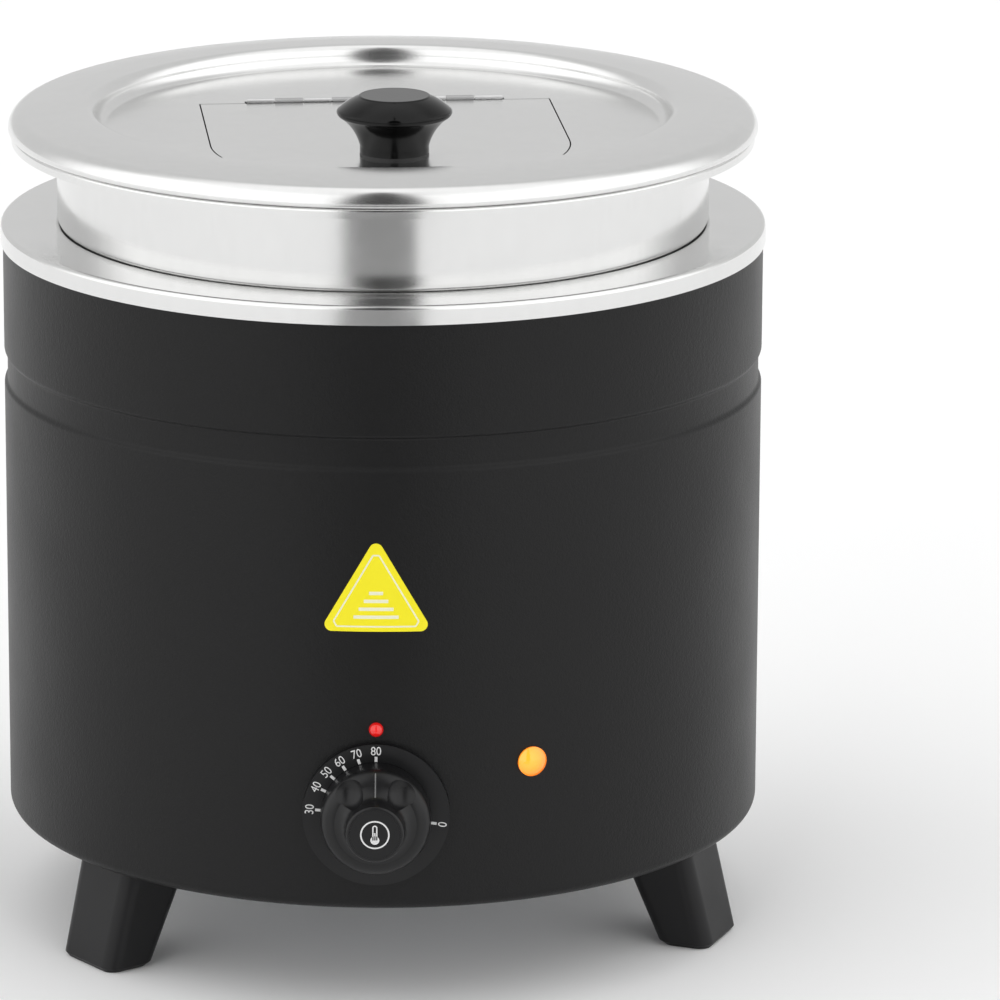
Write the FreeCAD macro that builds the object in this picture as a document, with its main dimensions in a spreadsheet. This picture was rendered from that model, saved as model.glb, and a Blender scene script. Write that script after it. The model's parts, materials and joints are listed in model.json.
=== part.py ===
import FreeCAD, Part
import math
import os
import Sketcher

# Soup kettle: a powder-coated water-bath kettle with a lift-out pot and a lid with a hinged flap.
# Millimetres, +Z up, origin on the kettle's axis at the level of the feet, front facing -Y.

doc = FreeCAD.newDocument("soup_kettle")
sheet = doc.addObject("Spreadsheet::Sheet", "Sizes")

SIZES = {
    # casing
    "leg_height": 48,
    "casing_height": 267,
    "shell_radius": 168,
    "shell_wall": 1,
    "shell_bottom_round": 5,
    "shell_top_gap": 2.2,
    "bead_drop": 64.5,
    "bead_height": 17,
    "bead_depth": 1.4,
    "bead_round": 2.2,
    # water well with its rim ring
    "bay_height": 89,
    "well_wall": 0.8,
    "skirt_gap": 0.2,
    "skirt_height": 8.4,
    "rim_round": 2,
    "well_gap": 25.5,
    "roll_round": 3.5,
    "well_corner": 18,
    # lift-out pot
    "pot_wall": 0.8,
    "neck_overhang": 2.3,
    "neck_height": 37.3,
    "shoulder_width": 5.5,
    "pot_taper": 1.1,
    "shoulder_height": 10,
    "seat_clearance": 0.3,
    "pot_floor_gap": 31.4,
    "pot_corner": 22,
    "pot_rim_width": 19.8,
    "pot_rim_drop": 4.2,
    "pot_rim_round": 1.5,
    "pot_mouth_round": 3,
    # lid
    "lid_overhang": 1.4,
    "lid_wall": 0.8,
    "lid_clearance": 0.3,
    "lid_curl": 1.2,
    "lid_curl_width": 4,
    "lid_edge_round": 7.3,
    "lid_edge_angle": 82.5,
    "lid_dome_round": 206.4,
    "lid_dome_width": 34,
    "lid_crown_height": 10.3,
    "recess_wall_width": 9.5,
    "recess_depth": 9,
    "lid_turn": 5.5,
    # hinged flap
    "flap_margin": 2.5,
    "flap_gap": 0.6,
    "flap_arc_offset": 41,
    "hinge_offset": 48,
    "tab_width": 29,
    "tab_reach": 7,
    "tab_root": 6,
    "tab_angle": 51,
    "tab_clearance": 0.3,
    # piano hinge
    "hinge_inset": 20.5,
    "knuckle_count": 9,
    "knuckle_radius": 1.7,
    "knuckle_gap": 0.25,
    "hinge_pin_radius": 0.8,
    "hinge_running_clearance": 0.05,
    "leaf_thickness": 0.8,
    "leaf_width": 14,
    "barrel_clearance": 0.5,
    # lid knob
    "lid_knob_offset": 63,
    "lid_knob_radius": 25,
    "lid_knob_height": 26,
    "lid_knob_edge": 18.5,
    "lid_knob_edge_round": 1.6,
    "lid_knob_lip_round": 2.6,
    "lid_knob_stem_radius": 15,
    "lid_knob_stem_height": 4,
    "lid_knob_lip_width": 1.5,
    "lid_knob_lip_height": 1.9,
    "lid_knob_flare_round": 22,
    "lid_knob_bevel_round": 30,
    "lid_knob_crown_radius": 15,
    "lid_knob_crown_round": 1.4,
    "lid_washer_thickness": 1,
    "lid_screw_radius": 2,
    "lid_screw_head_radius": 4.5,
    "lid_screw_head_height": 2.6,
    "lid_screw_grip": 14,
    "lid_screw_end_gap": 1,
    "screw_clearance": 0.3,
    "thread_clearance": 0.05,
    # legs
    "leg_turn": 8,
    "leg_splay": 12,
    "leg_foot_depth": 25,
    "leg_foot_width": 39,
    "leg_set_back": 15,
    "leg_top_depth": 35,
    "leg_top_width": 41,
    "leg_corner": 7,
    "leg_foot_bevel": 2,
    "leg_screw_radius": 2,
    "leg_screw_spacing": 20,
    "leg_screw_length": 16,
    "leg_screw_head_radius": 4,
    "leg_screw_head_height": 2.4,
    # bottom cover
    "cover_gap": 4,
    "cover_lap": 10,
    "cover_thickness": 0.8,
    "cover_screw_radius": 1.75,
    "cover_screw_head_radius": 3.5,
    "cover_screw_head_height": 2,
    "cover_screw_length": 7,
    "vent_width": 4,
    "vent_length": 46,
    "vent_pitch": 12,
    "vent_bridge": 11,
    # heater under the well
    "heater_plate_lip": 10,
    "heater_plate_thickness": 4,
    "element_ring_radius": 58,
    "element_tube_radius": 4,
    "element_sweep": 320,
    "element_terminal_length": 18,
    "clamp_lip": 8,
    "clamp_thickness": 1.5,
    "stud_radius": 4,
    "stud_clearance": 0.4,
    "stud_tail": 9,
    "stud_nut_radius": 7.5,
    "stud_nut_height": 6.5,
    # dial and thermostat
    "dial_lift": 44,
    "dial_plate_radius": 31.5,
    "dial_plate_stand": 2.6,
    "dial_gap": 0.5,
    "dial_knob_radius": 23.5,
    "dial_knob_height": 27,
    "dial_wall_height": 8,
    "dial_shoulder_round": 6,
    "dial_boss_radius": 12.4,
    "dial_boss_foot": 21,
    "dial_boss_round": 1.2,
    "dial_cap_rim": 1.6,
    "dial_cap_thickness": 1.2,
    "dial_skirt_wall": 3,
    "dial_cavity_depth": 7,
    "dial_hub_radius": 6,
    "dial_bore_depth": 17,
    "scallop_radius": 8.5,
    "scallop_offset": 20.5,
    "scallop_height": 19,
    "scallop_angle": 38,
    "shaft_radius": 3,
    "shaft_flat": 1,
    "shaft_running_clearance": 0.05,
    "shaft_flat_length": 10,
    "shaft_end_gap": 1,
    "shaft_tail": 8,
    "bushing_radius": 5,
    "bushing_clearance": 0.3,
    "bracket_width": 44,
    "bracket_height": 30,
    "bracket_thickness": 1.5,
    "bracket_set_back": 1.6,
    "thermostat_radius": 19,
    "thermostat_depth": 24,
    "thermostat_blade_spacing": 10,
    "thermostat_screw_radius": 1.75,
    "thermostat_screw_spacing": 28,
    "thermostat_screw_head_radius": 3.3,
    "thermostat_screw_head_height": 2,
    "bulb_radius": 3,
    "bulb_length": 70,
    "bulb_gap": 13,
    "capillary_radius": 0.9,
    "capillary_run": 15,
    "capillary_x": 12,
    "capillary_rise": 8,
    # indicator lamps
    "power_lamp_angle": 23.3,
    "power_lamp_rise": 19.5,
    "power_lens_radius": 6.5,
    "power_lens_bulge": 3.2,
    "power_stem_radius": 5,
    "power_body_length": 18,
    "heating_lamp_angle": 0,
    "heating_lamp_gap": 6,
    "heating_lens_radius": 3.1,
    "heating_lens_bulge": 2.6,
    "heating_stem_radius": 2.4,
    "heating_body_length": 12,
    "lamp_flange": 0.9,
    "lamp_stem_length": 6,
    "lamp_clip_width": 2.6,
    "lamp_clip_thickness": 1.4,
    "lamp_pin_radius": 0.6,
    "lamp_pin_length": 7,
    "panel_hole_clearance": 0.25,
    # hot-surface sticker
    "sticker_width": 48.2,
    "sticker_rise": 41.8,
    "sticker_share": 0.596,
    "sticker_corner": 3,
    "sticker_thickness": 0.25,
    # cable gland and terminals
    "gland_lift": 24,
    "gland_bore_radius": 3.7,
    "gland_thread_radius": 6,
    "gland_hex_radius": 10,
    "gland_hex_length": 6,
    "gland_cap_radius": 8.6,
    "gland_cap_length": 11,
    "gland_cap_foot": 1,
    "gland_mouth": 1,
    "gland_tail": 12,
    "gland_nut_length": 5,
    "terminal_block_width": 38,
    "terminal_block_depth": 18,
    "terminal_block_height": 15,
    "terminal_block_gap": 20,
    "terminal_pitch": 11,
    "terminal_screw_radius": 1.5,
    "terminal_screw_length": 8,
    "terminal_screw_head_radius": 3,
    "terminal_screw_head_height": 2,
    "cutout_radius": 8,
    "cutout_height": 8,
    "cutout_offset": 36,
    # blade terminals
    "blade_width": 6,
    "blade_thickness": 1,
    "blade_length": 9,
    "blade_root": 1,
    # tools that cut holes start this far outside the metal
    "drill_margin": 10,
}

for row, (name, number) in enumerate(SIZES.items(), start=1):
    sheet.set("A%d" % row, name)
    sheet.set("B%d" % row, str(number))
    sheet.setAlias("B%d" % row, name)
doc.recompute()


# ---- sizes that carry their own spreadsheet expression ----------------------------------------

class Size:
    """A number together with the spreadsheet expression that gives it."""

    def __init__(self, text, value):
        self.text = text
        self.value = float(value)

    def __add__(self, other):
        return join(self, "+", other, self.value + size(other).value)

    def __radd__(self, other):
        return join(other, "+", self, size(other).value + self.value)

    def __sub__(self, other):
        return join(self, "-", other, self.value - size(other).value)

    def __rsub__(self, other):
        return join(other, "-", self, size(other).value - self.value)

    def __mul__(self, other):
        return join(self, "*", other, self.value * size(other).value)

    def __rmul__(self, other):
        return join(other, "*", self, size(other).value * self.value)

    def __truediv__(self, other):
        return join(self, "/", other, self.value / size(other).value)

    def __neg__(self):
        return join(0, "-", self, -self.value)


def size(thing):
    """A Size from a Size or a plain number."""
    if isinstance(thing, Size):
        return thing
    return Size("(%s)" % thing if thing < 0 else str(thing), thing)


def join(left, sign, right, value):
    return Size("(%s %s %s)" % (size(left).text, sign, size(right).text), value)


def root(thing):
    return Size("sqrt(%s)" % thing.text, math.sqrt(thing.value))


def sine(angle):
    return Size("sin(%s)" % size(angle).text, math.sin(math.radians(size(angle).value)))


def cosine(angle):
    return Size("cos(%s)" % size(angle).text, math.cos(math.radians(size(angle).value)))


class Sheet:
    """Every spreadsheet alias as an attribute that is a Size."""

    def __getattr__(self, name):
        return Size("Sizes." + name, sheet.get(name))


s = Sheet()


# ---- levels and radii worked out from the driving sizes ----------------------------------------

casing_floor = s.leg_height
ring_top = casing_floor + s.casing_height
shell_inner = s.shell_radius - s.shell_wall
shell_floor = casing_floor + s.shell_wall
bead_foot = ring_top - s.bead_drop - s.bead_height / 2
skirt_inner = s.shell_radius + s.skirt_gap
ring_radius = skirt_inner + s.well_wall
opening_radius = shell_inner - s.well_gap
roll_centre_radius = opening_radius + s.roll_round
roll_centre_height = ring_top - s.roll_round
well_floor = casing_floor + s.bay_height
well_underside = well_floor - s.well_wall

# legs stand inside the casing's edge, and the bottom cover and the casing's flange end inside the legs
leg_top_outer = s.shell_radius - s.leg_set_back
leg_foot_outer = leg_top_outer + s.leg_splay
cover_radius = leg_top_outer - s.leg_top_depth - s.cover_gap
flange_radius = cover_radius - s.cover_lap
terminal_block_offset = flange_radius - s.terminal_block_gap - s.terminal_block_depth

# the pot hangs through the opening, and the lid covers the pot's rim
neck_radius = opening_radius + s.neck_overhang
pot_radius = neck_radius - s.shoulder_width
pot_bottom_radius = pot_radius - s.pot_taper
pot_rim_radius = neck_radius + s.pot_rim_width
lid_radius = pot_rim_radius + s.lid_overhang
lid_crown_radius = lid_radius - s.lid_dome_width
recess_radius = lid_crown_radius - s.recess_wall_width
flap_half_width = recess_radius - s.flap_margin - s.flap_arc_offset
hinge_length = 2 * (flap_half_width - s.hinge_inset)

# the pot's shoulder is two equal arcs, and the upper one rests on the well's rolled edge
shoulder_step = s.shoulder_width / 2
shoulder_rise = s.shoulder_height / 2
shoulder_round = (shoulder_rise * shoulder_rise + shoulder_step * shoulder_step) / (2 * shoulder_step)
seat_reach = shoulder_round + s.roll_round + s.seat_clearance
seat_run = roll_centre_radius - (neck_radius - shoulder_round)
shoulder_top = roll_centre_height + root(seat_reach * seat_reach - seat_run * seat_run)
shoulder_bottom = shoulder_top - s.shoulder_height
pot_rim_top = shoulder_top + s.neck_height
pot_underside = well_floor + s.pot_floor_gap

lid_foot = pot_rim_top + s.lid_clearance
lid_crown = lid_foot + s.lid_crown_height
panel_top = lid_crown - s.recess_depth
panel_bottom = panel_top - s.lid_wall
hinge_axis_height = panel_bottom - s.leaf_thickness + s.knuckle_radius
barrel_half_gap = s.knuckle_radius + s.barrel_clearance

# what shows on the front stacks up from the dial: two lamps, then the sticker below the bead
dial_height = casing_floor + s.dial_lift
power_lamp_height = dial_height + s.power_lamp_rise
heating_lamp_height = dial_height + s.dial_plate_radius + s.heating_lamp_gap
heating_lens_top = heating_lamp_height + s.heating_lens_radius
sticker_room = bead_foot - heating_lens_top - s.sticker_rise
sticker_foot = heating_lens_top + sticker_room * s.sticker_share
gland_height = casing_floor + s.gland_lift

plate_front = s.shell_radius + s.dial_plate_stand
knob_back = plate_front + s.dial_gap
bracket_front = shell_inner - s.bracket_set_back
bracket_back = bracket_front - s.bracket_thickness
dial_cap_radius = s.dial_boss_radius - s.dial_cap_rim
dial_cavity_radius = s.dial_knob_radius - s.dial_skirt_wall

# the heater grows outwards from its element, and the bulb lies just outside it
clamp_radius = s.element_ring_radius + s.element_tube_radius + s.clamp_lip
heater_plate_radius = clamp_radius + s.heater_plate_lip
bulb_offset = heater_plate_radius + s.bulb_gap + s.bulb_radius
heater_underside = well_underside - s.heater_plate_thickness
element_height = heater_underside - s.element_tube_radius
clamp_top = element_height - s.element_tube_radius
clamp_bottom = clamp_top - s.clamp_thickness


# ---- drawing helpers ---------------------------------------------------------------------------

NODES = []


def node(label, thing):
    """Names a finished sub-part, which is written to a file of that name."""
    thing.Label = label
    NODES.append(thing)
    return thing


def bind(thing, **sizes):
    """Binds properties of an object to their spreadsheet expressions."""
    for name, value in sizes.items():
        thing.setExpression(name, size(value).text)
    return thing


def put(thing, x=0, y=0, z=0, yaw=0, roll=0):
    """Binds an object's placement: rolled about X, then turned about Z, then moved."""
    words = [size(value).text for value in (x, y, z, yaw, roll)]
    thing.setExpression("Placement",
                        "create(<<placement>>; create(<<vector>>; %s; %s; %s); "
                        "create(<<rotation>>; %s; 0; %s))" % tuple(words))
    return thing


def face_out(thing, angle, height, distance):
    """Stands an object drawn along +Z on the casing, pointing outwards at an angle from the front."""
    return put(thing, distance * sine(angle), -(distance * cosine(angle)), height, yaw=angle, roll=90)


def cylinder(radius, height, x=0, y=0, z=0):
    thing = doc.addObject("Part::Cylinder", "Cylinder")
    bind(thing, Radius=radius, Height=height)
    return put(thing, x, y, z)


def drill_down(radius, x, y, z, thickness):
    """A vertical cylinder that cuts a hole through a sheet standing on z."""
    return cylinder(radius, 3 * thickness, x, y, z - thickness)


def ball(radius, x, y, z):
    thing = doc.addObject("Part::Sphere", "Sphere")
    bind(thing, Radius=radius)
    return put(thing, x, y, z)


def cross_cylinder(radius, length, x, y, z):
    """A cylinder that runs along +X from its start point."""
    thing = doc.addObject("Part::Cylinder", "CrossCylinder")
    bind(thing, Radius=radius, Height=length)
    return put(thing, x, y, z, yaw=90, roll=90)


def box(width, depth, height, x, y, z, yaw=0):
    """A box whose width is centred on x and that grows from y and z."""
    thing = doc.addObject("Part::Box", "Box")
    bind(thing, Length=width, Width=depth, Height=height)
    across = size(width) / 2
    return put(thing, size(x) - across * cosine(yaw), size(y) - across * sine(yaw), z, yaw=yaw)


def hexagon(radius, height, x=0, y=0, z=0):
    thing = doc.addObject("Part::Prism", "Hexagon")
    thing.Polygon = 6
    bind(thing, Circumradius=radius, Height=height)
    return put(thing, x, y, z)


def fuse(*things):
    thing = doc.addObject("Part::MultiFuse", "Fusion")
    thing.Shapes = list(things)
    return thing


def cut(base, *tools):
    thing = doc.addObject("Part::Cut", "Cut")
    thing.Base = base
    thing.Tool = tools[0] if len(tools) == 1 else fuse(*tools)
    return thing


def group(*things):
    """Separate solids that share one node."""
    thing = doc.addObject("Part::Compound", "Group")
    thing.Links = list(things)
    return thing


def origin_plane(body, role):
    return [plane for plane in body.Origin.OriginFeatures if plane.Role == role][0]


def new_sketch(body, role, lift=0):
    """A sketch on one of the body's own planes, lifted along the plane's normal."""
    sketch = body.newObject("Sketcher::SketchObject", "Sketch")
    sketch.AttachmentSupport = [(origin_plane(body, role), "")]
    sketch.MapMode = "FlatFace"
    sketch.setExpression("AttachmentOffset.Base.z", size(lift).text)
    return sketch


def hold(sketch, kind, *places, value):
    """Adds a dimension to a sketch and binds it to its expression."""
    number = sketch.addConstraint(Sketcher.Constraint(kind, *places, size(value).value))
    sketch.setExpression("Constraints[%d]" % number, size(value).text)


def arc_between(start, end, radius, turn):
    """The shorter arc from start to end: turn is 1 where it bends left, -1 where it bends right."""
    middle = (start + end) * 0.5
    chord = end - start
    sideways = FreeCAD.Vector(-chord.y, chord.x, 0).normalize() * turn
    rise = math.sqrt(max(radius ** 2 - (chord.Length / 2) ** 2, 0))
    centre = middle + sideways * rise
    first, last = (start, end) if turn > 0 else (end, start)
    from_angle = math.atan2(first.y - centre.y, first.x - centre.x)
    to_angle = math.atan2(last.y - centre.y, last.x - centre.x)
    if to_angle <= from_angle:
        to_angle += 2 * math.pi
    circle = Part.Circle(centre, FreeCAD.Vector(0, 0, 1), radius)
    return Part.ArcOfCircle(circle, from_angle, to_angle)


def outline(sketch, corners):
    """Draws a closed, fully dimensioned outline. A corner is (x, y), or (x, y, radius, turn) where
    an arc leads to it, turning left (1) or right (-1)."""
    points = [FreeCAD.Vector(size(c[0]).value, size(c[1]).value, 0) for c in corners]
    ends = []
    for index, corner in enumerate(corners):
        start, end = points[index - 1], points[index]
        if len(corner) == 2:
            edge = sketch.addGeometry(Part.LineSegment(start, end))
            ends.append((edge, 1, 2))
        else:
            radius, turn = corner[2], corner[3]
            edge = sketch.addGeometry(arc_between(start, end, size(radius).value, turn))
            ends.append((edge, 1, 2) if turn > 0 else (edge, 2, 1))
    for index, corner in enumerate(corners):
        edge, _, last = ends[index]
        following, first, _ = ends[(index + 1) % len(corners)]
        sketch.addConstraint(Sketcher.Constraint("Coincident", edge, last, following, first))
        hold(sketch, "DistanceX", -1, 1, edge, last, value=corner[0])
        hold(sketch, "DistanceY", -1, 1, edge, last, value=corner[1])
        if len(corner) == 4:
            hold(sketch, "Radius", edge, value=corner[2])
    return sketch


def new_body():
    return doc.addObject("PartDesign::Body", "Body")


def turned(corners):
    """A body turned about Z from its half section, given as radii and heights."""
    body = new_body()
    sketch = outline(new_sketch(body, "XZ_Plane"), corners)
    turning = body.newObject("PartDesign::Revolution", "Revolution")
    turning.Profile = sketch
    turning.ReferenceAxis = (sketch, ["V_Axis"])
    turning.Angle = 360
    doc.recompute()
    return body


def padded(corners, thickness, lift=0, role="XY_Plane"):
    """A body padded from a flat outline."""
    body = new_body()
    pad = body.newObject("PartDesign::Pad", "Pad")
    pad.Profile = outline(new_sketch(body, role, lift), corners)
    bind(pad, Length=thickness)
    doc.recompute()
    return body


def screw(head_radius, head_height, shank_radius, length):
    """A screw whose head stands on z = 0 and whose shank goes down from there."""
    section = [(0, -length), (shank_radius, -length), (shank_radius, 0), (head_radius, 0),
               (head_radius, head_height / 2), (head_radius - head_height / 2, head_height),
               (0, head_height)]
    return turned(section)


# ---- casing ------------------------------------------------------------------------------------

def bead_corners(radius):
    """The rolled bead in the casing wall, from its lower to its upper end."""
    low = bead_foot
    high = low + s.bead_height
    half = s.bead_depth / 2
    inner = s.bead_round - half
    run = root(s.bead_round * s.bead_round - inner * inner)
    turn = s.bead_round
    return [(radius, low), (radius - half, low + run, turn, 1),
            (radius - s.bead_depth, low + 2 * run, turn, -1),
            (radius - s.bead_depth, high - 2 * run),
            (radius - half, high - run, turn, -1), (radius, high, turn, 1)]


def reverse_path(corners):
    """The same open path walked the other way."""
    path = []
    arriving = ()
    for corner in reversed(corners):
        path.append(tuple(corner[:2]) + arriving)
        arriving = (corner[2], -corner[3]) if len(corner) == 4 else ()
    return path


def outer_shell():
    top = ring_top - s.well_wall - s.shell_top_gap
    bend = casing_floor + s.shell_bottom_round
    inner_round = s.shell_bottom_round - s.shell_wall
    flat = s.shell_radius - s.shell_bottom_round
    section = [(flange_radius, casing_floor), (flat, casing_floor),
               (s.shell_radius, bend, s.shell_bottom_round, 1)]
    section += bead_corners(s.shell_radius)
    section += [(s.shell_radius, top), (shell_inner, top)]
    section += reverse_path(bead_corners(shell_inner))
    section += [(shell_inner, bend), (flat, shell_floor, inner_round, -1),
                (flange_radius, shell_floor)]
    holes = []
    openings = [
        (0, dial_height, s.bushing_radius + s.bushing_clearance),
        (s.power_lamp_angle, power_lamp_height, s.power_stem_radius + s.panel_hole_clearance),
        (s.heating_lamp_angle, heating_lamp_height, s.heating_stem_radius + s.panel_hole_clearance),
        (180, gland_height, s.gland_thread_radius + s.panel_hole_clearance),
    ]
    for angle, height, radius in openings:
        drill = cylinder(radius, 2 * s.drill_margin)
        holes.append(face_out(drill, angle, height, s.shell_radius - s.drill_margin))
    for x, height in thermostat_screw_places():
        drill = cylinder(s.thermostat_screw_radius + s.screw_clearance, 2 * s.drill_margin)
        holes.append(put(drill, x, s.drill_margin - s.shell_radius, height, roll=90))
    for x, y in leg_screw_places():
        holes.append(drill_down(s.leg_screw_radius + s.screw_clearance, x, y, casing_floor, s.shell_wall))
    for x, y in cover_screw_places():
        holes.append(drill_down(s.cover_screw_radius + s.thread_clearance, x, y, casing_floor, s.shell_wall))
    return node("outer_shell", cut(turned(section), *holes))


def water_well():
    foot = ring_top - s.skirt_height
    wall = s.well_wall
    inner, outer = opening_radius, opening_radius + wall
    corner = s.well_corner
    floor_edge = inner - corner
    section = [
        (ring_radius, foot), (ring_radius, ring_top - s.rim_round),
        (ring_radius - s.rim_round, ring_top, s.rim_round, 1),
        (roll_centre_radius, ring_top), (inner, roll_centre_height, s.roll_round, 1),
        (inner, well_floor + corner), (floor_edge, well_floor, corner, -1),
        (0, well_floor), (0, well_underside),
        (floor_edge, well_underside), (outer, well_floor + corner, corner + wall, 1),
        (outer, roll_centre_height), (roll_centre_radius, ring_top - wall, s.roll_round - wall, -1),
        (ring_radius - s.rim_round, ring_top - wall),
        (skirt_inner, ring_top - s.rim_round, s.rim_round - wall, -1), (skirt_inner, foot),
    ]
    return node("water_well", turned(section))


# ---- legs and bottom cover ---------------------------------------------------------------------

LEGS = {"leg_front_left": -60, "leg_front_right": 60, "leg_rear": 180}


def leg_screw_places():
    """Two screws side by side over each leg."""
    distance = leg_top_outer - s.leg_top_depth / 2
    places = []
    for start in LEGS.values():
        angle = s.leg_turn + start
        for side in (-1, 1):
            across = s.leg_screw_spacing / 2 * side
            places.append((distance * sine(angle) + across * cosine(angle),
                           across * sine(angle) - distance * cosine(angle)))
    return places


def cover_screw_places():
    """Three screws through the lap of the cover and the casing's flange, midway between legs."""
    distance = flange_radius + s.cover_lap / 2
    angles = [s.leg_turn + turn for turn in (0, 120, 240)]
    return [(distance * sine(angle), -(distance * cosine(angle))) for angle in angles]


def rounded_rectangle(width, near, far, corner):
    """A rectangle across x, from y = -far to y = -near, with round corners."""
    half = width / 2
    return [(half - corner, -far), (half, corner - far, corner, 1),
            (half, -near - corner), (half - corner, -near, corner, 1),
            (corner - half, -near), (-half, -near - corner, corner, 1),
            (-half, corner - far), (corner - half, -far, corner, 1)]


def leg_section(body, height, inset):
    """The leg's section at a height, as the taper from foot to top gives it, drawn in by an inset."""
    share = height / s.leg_height
    width = s.leg_foot_width + (s.leg_top_width - s.leg_foot_width) * share
    depth = s.leg_foot_depth + (s.leg_top_depth - s.leg_foot_depth) * share
    outer = leg_foot_outer + (leg_top_outer - leg_foot_outer) * share
    corners = rounded_rectangle(width - 2 * inset, outer - depth + inset, outer - inset,
                                s.leg_corner - inset)
    return outline(new_sketch(body, "XY_Plane", height), corners)


def leg(label, start):
    """A tapered leg that splays outwards over a bevelled sole, drawn at the front and turned."""
    body = new_body()
    loft = body.newObject("PartDesign::AdditiveLoft", "Loft")
    loft.Profile = leg_section(body, size(0), s.leg_foot_bevel)
    loft.Sections = [leg_section(body, s.leg_foot_bevel, size(0)),
                     leg_section(body, s.leg_height, size(0))]
    loft.Ruled = True
    doc.recompute()
    distance = leg_top_outer - s.leg_top_depth / 2
    depth = s.leg_screw_length + 2
    holes = [cylinder(s.leg_screw_radius + s.thread_clearance, depth + 2, s.leg_screw_spacing / 2 * side,
                      -distance, casing_floor - depth) for side in (-1, 1)]
    return node(label, put(cut(body, *holes), yaw=s.leg_turn + start))


def leg_screws():
    screws = [put(screw(s.leg_screw_head_radius, s.leg_screw_head_height, s.leg_screw_radius,
                        s.leg_screw_length), x, y, shell_floor) for x, y in leg_screw_places()]
    return node("leg_screws", group(*screws))


def bottom_cover():
    """A plate lapped under the casing's flange, with slots that let the underside breathe."""
    low = casing_floor - s.cover_thickness
    plate = cylinder(cover_radius, s.cover_thickness, 0, 0, low)
    across = (s.vent_length + s.vent_bridge) / 2
    cuts = []
    for row in (-2, -1, 0, 1, 2):
        for side in (-1, 1):
            slot = box(s.vent_length, s.vent_width, 3 * s.cover_thickness, across * side,
                       s.vent_pitch * row - s.vent_width / 2, low - s.cover_thickness)
            cuts.append(slot)
    for x, y in cover_screw_places():
        cuts.append(drill_down(s.cover_screw_radius + s.screw_clearance, x, y, low, s.cover_thickness))
    return node("bottom_cover", cut(plate, *cuts))


def cover_screws():
    low = casing_floor - s.cover_thickness
    screws = [put(screw(s.cover_screw_head_radius, s.cover_screw_head_height, s.cover_screw_radius,
                        s.cover_screw_length), x, y, low, roll=180) for x, y in cover_screw_places()]
    return node("cover_screws", group(*screws))


# ---- heater ------------------------------------------------------------------------------------

def heater_plate():
    disc = cylinder(heater_plate_radius, s.heater_plate_thickness, 0, 0, heater_underside)
    hole = drill_down(s.stud_radius + s.stud_clearance, 0, 0, heater_underside, s.heater_plate_thickness)
    return node("heater_plate", cut(disc, hole))


def heating_element():
    """A round tubular element, open at the rear, with its two ends bent down as terminals."""
    ring = doc.addObject("Part::Torus", "Torus")
    bind(ring, Radius1=s.element_ring_radius, Radius2=s.element_tube_radius, Angle3=s.element_sweep)
    first = 90 + (360 - s.element_sweep) / 2
    put(ring, z=element_height, yaw=first)
    ends = []
    for angle in (first, first + s.element_sweep):
        x = s.element_ring_radius * cosine(angle)
        y = s.element_ring_radius * sine(angle)
        ends.append(cylinder(s.element_tube_radius, s.element_terminal_length, x, y,
                             element_height - s.element_terminal_length))
        ends.append(ball(s.element_tube_radius, x, y, element_height))
    return node("heating_element", fuse(ring, *ends))


def heater_clamp():
    """A pressed disc that holds the element up, cut away at the rear for its terminals."""
    disc = cylinder(clamp_radius, s.clamp_thickness, 0, 0, clamp_bottom)
    hole = drill_down(s.stud_radius + s.stud_clearance, 0, 0, clamp_bottom, s.clamp_thickness)
    gap = box(s.element_ring_radius, clamp_radius, 3 * s.clamp_thickness, 0,
              s.element_ring_radius * cosine((360 - s.element_sweep) / 2) - 2 * s.element_tube_radius,
              clamp_bottom - s.clamp_thickness)
    return node("heater_clamp", cut(disc, hole, gap))


def heater_stud():
    length = well_underside - clamp_bottom + s.stud_tail
    return node("heater_stud", cylinder(s.stud_radius, length, 0, 0, well_underside - length))


def heater_nut():
    low = clamp_bottom - s.stud_nut_height
    nut = hexagon(s.stud_nut_radius, s.stud_nut_height, 0, 0, low)
    hole = drill_down(s.stud_radius + s.thread_clearance, 0, 0, low, s.stud_nut_height)
    return node("heater_nut", cut(nut, hole))


def thermal_cutout():
    """A snap-disc cut-out under the clamp, with two blade terminals."""
    low = clamp_bottom - s.cutout_height
    case = cylinder(s.cutout_radius, s.cutout_height, 0, -s.cutout_offset, low)
    blades = [box(s.blade_thickness, s.blade_width, s.blade_length + s.blade_root,
                  s.cutout_radius / 2 * side, -s.cutout_offset - s.blade_width / 2,
                  low - s.blade_length) for side in (-1, 1)]
    return node("thermal_cutout", fuse(case, *blades))


# ---- dial and thermostat -----------------------------------------------------------------------

def thermostat_screw_places():
    return [(s.thermostat_screw_spacing / 2 * side, dial_height) for side in (-1, 1)]


def dial_plate():
    """The round scale plate, flat in front and hollowed behind to lie on the curved casing."""
    disc = put(cylinder(s.dial_plate_radius, 4 * s.dial_plate_stand),
               0, -(plate_front - 4 * s.dial_plate_stand), dial_height, roll=90)
    casing = cylinder(s.shell_radius, 3 * s.dial_plate_radius, 0, 0,
                      dial_height - 1.5 * s.dial_plate_radius)
    holes = [put(cylinder(s.bushing_radius + s.bushing_clearance, 8 * s.dial_plate_stand),
                 0, -(plate_front - 6 * s.dial_plate_stand), dial_height, roll=90)]
    for x, height in thermostat_screw_places():
        holes.append(put(cylinder(s.thermostat_screw_radius + s.screw_clearance, 8 * s.dial_plate_stand),
                         x, -(plate_front - 6 * s.dial_plate_stand), height, roll=90))
    return node("dial_plate", cut(disc, casing, *holes))


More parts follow.
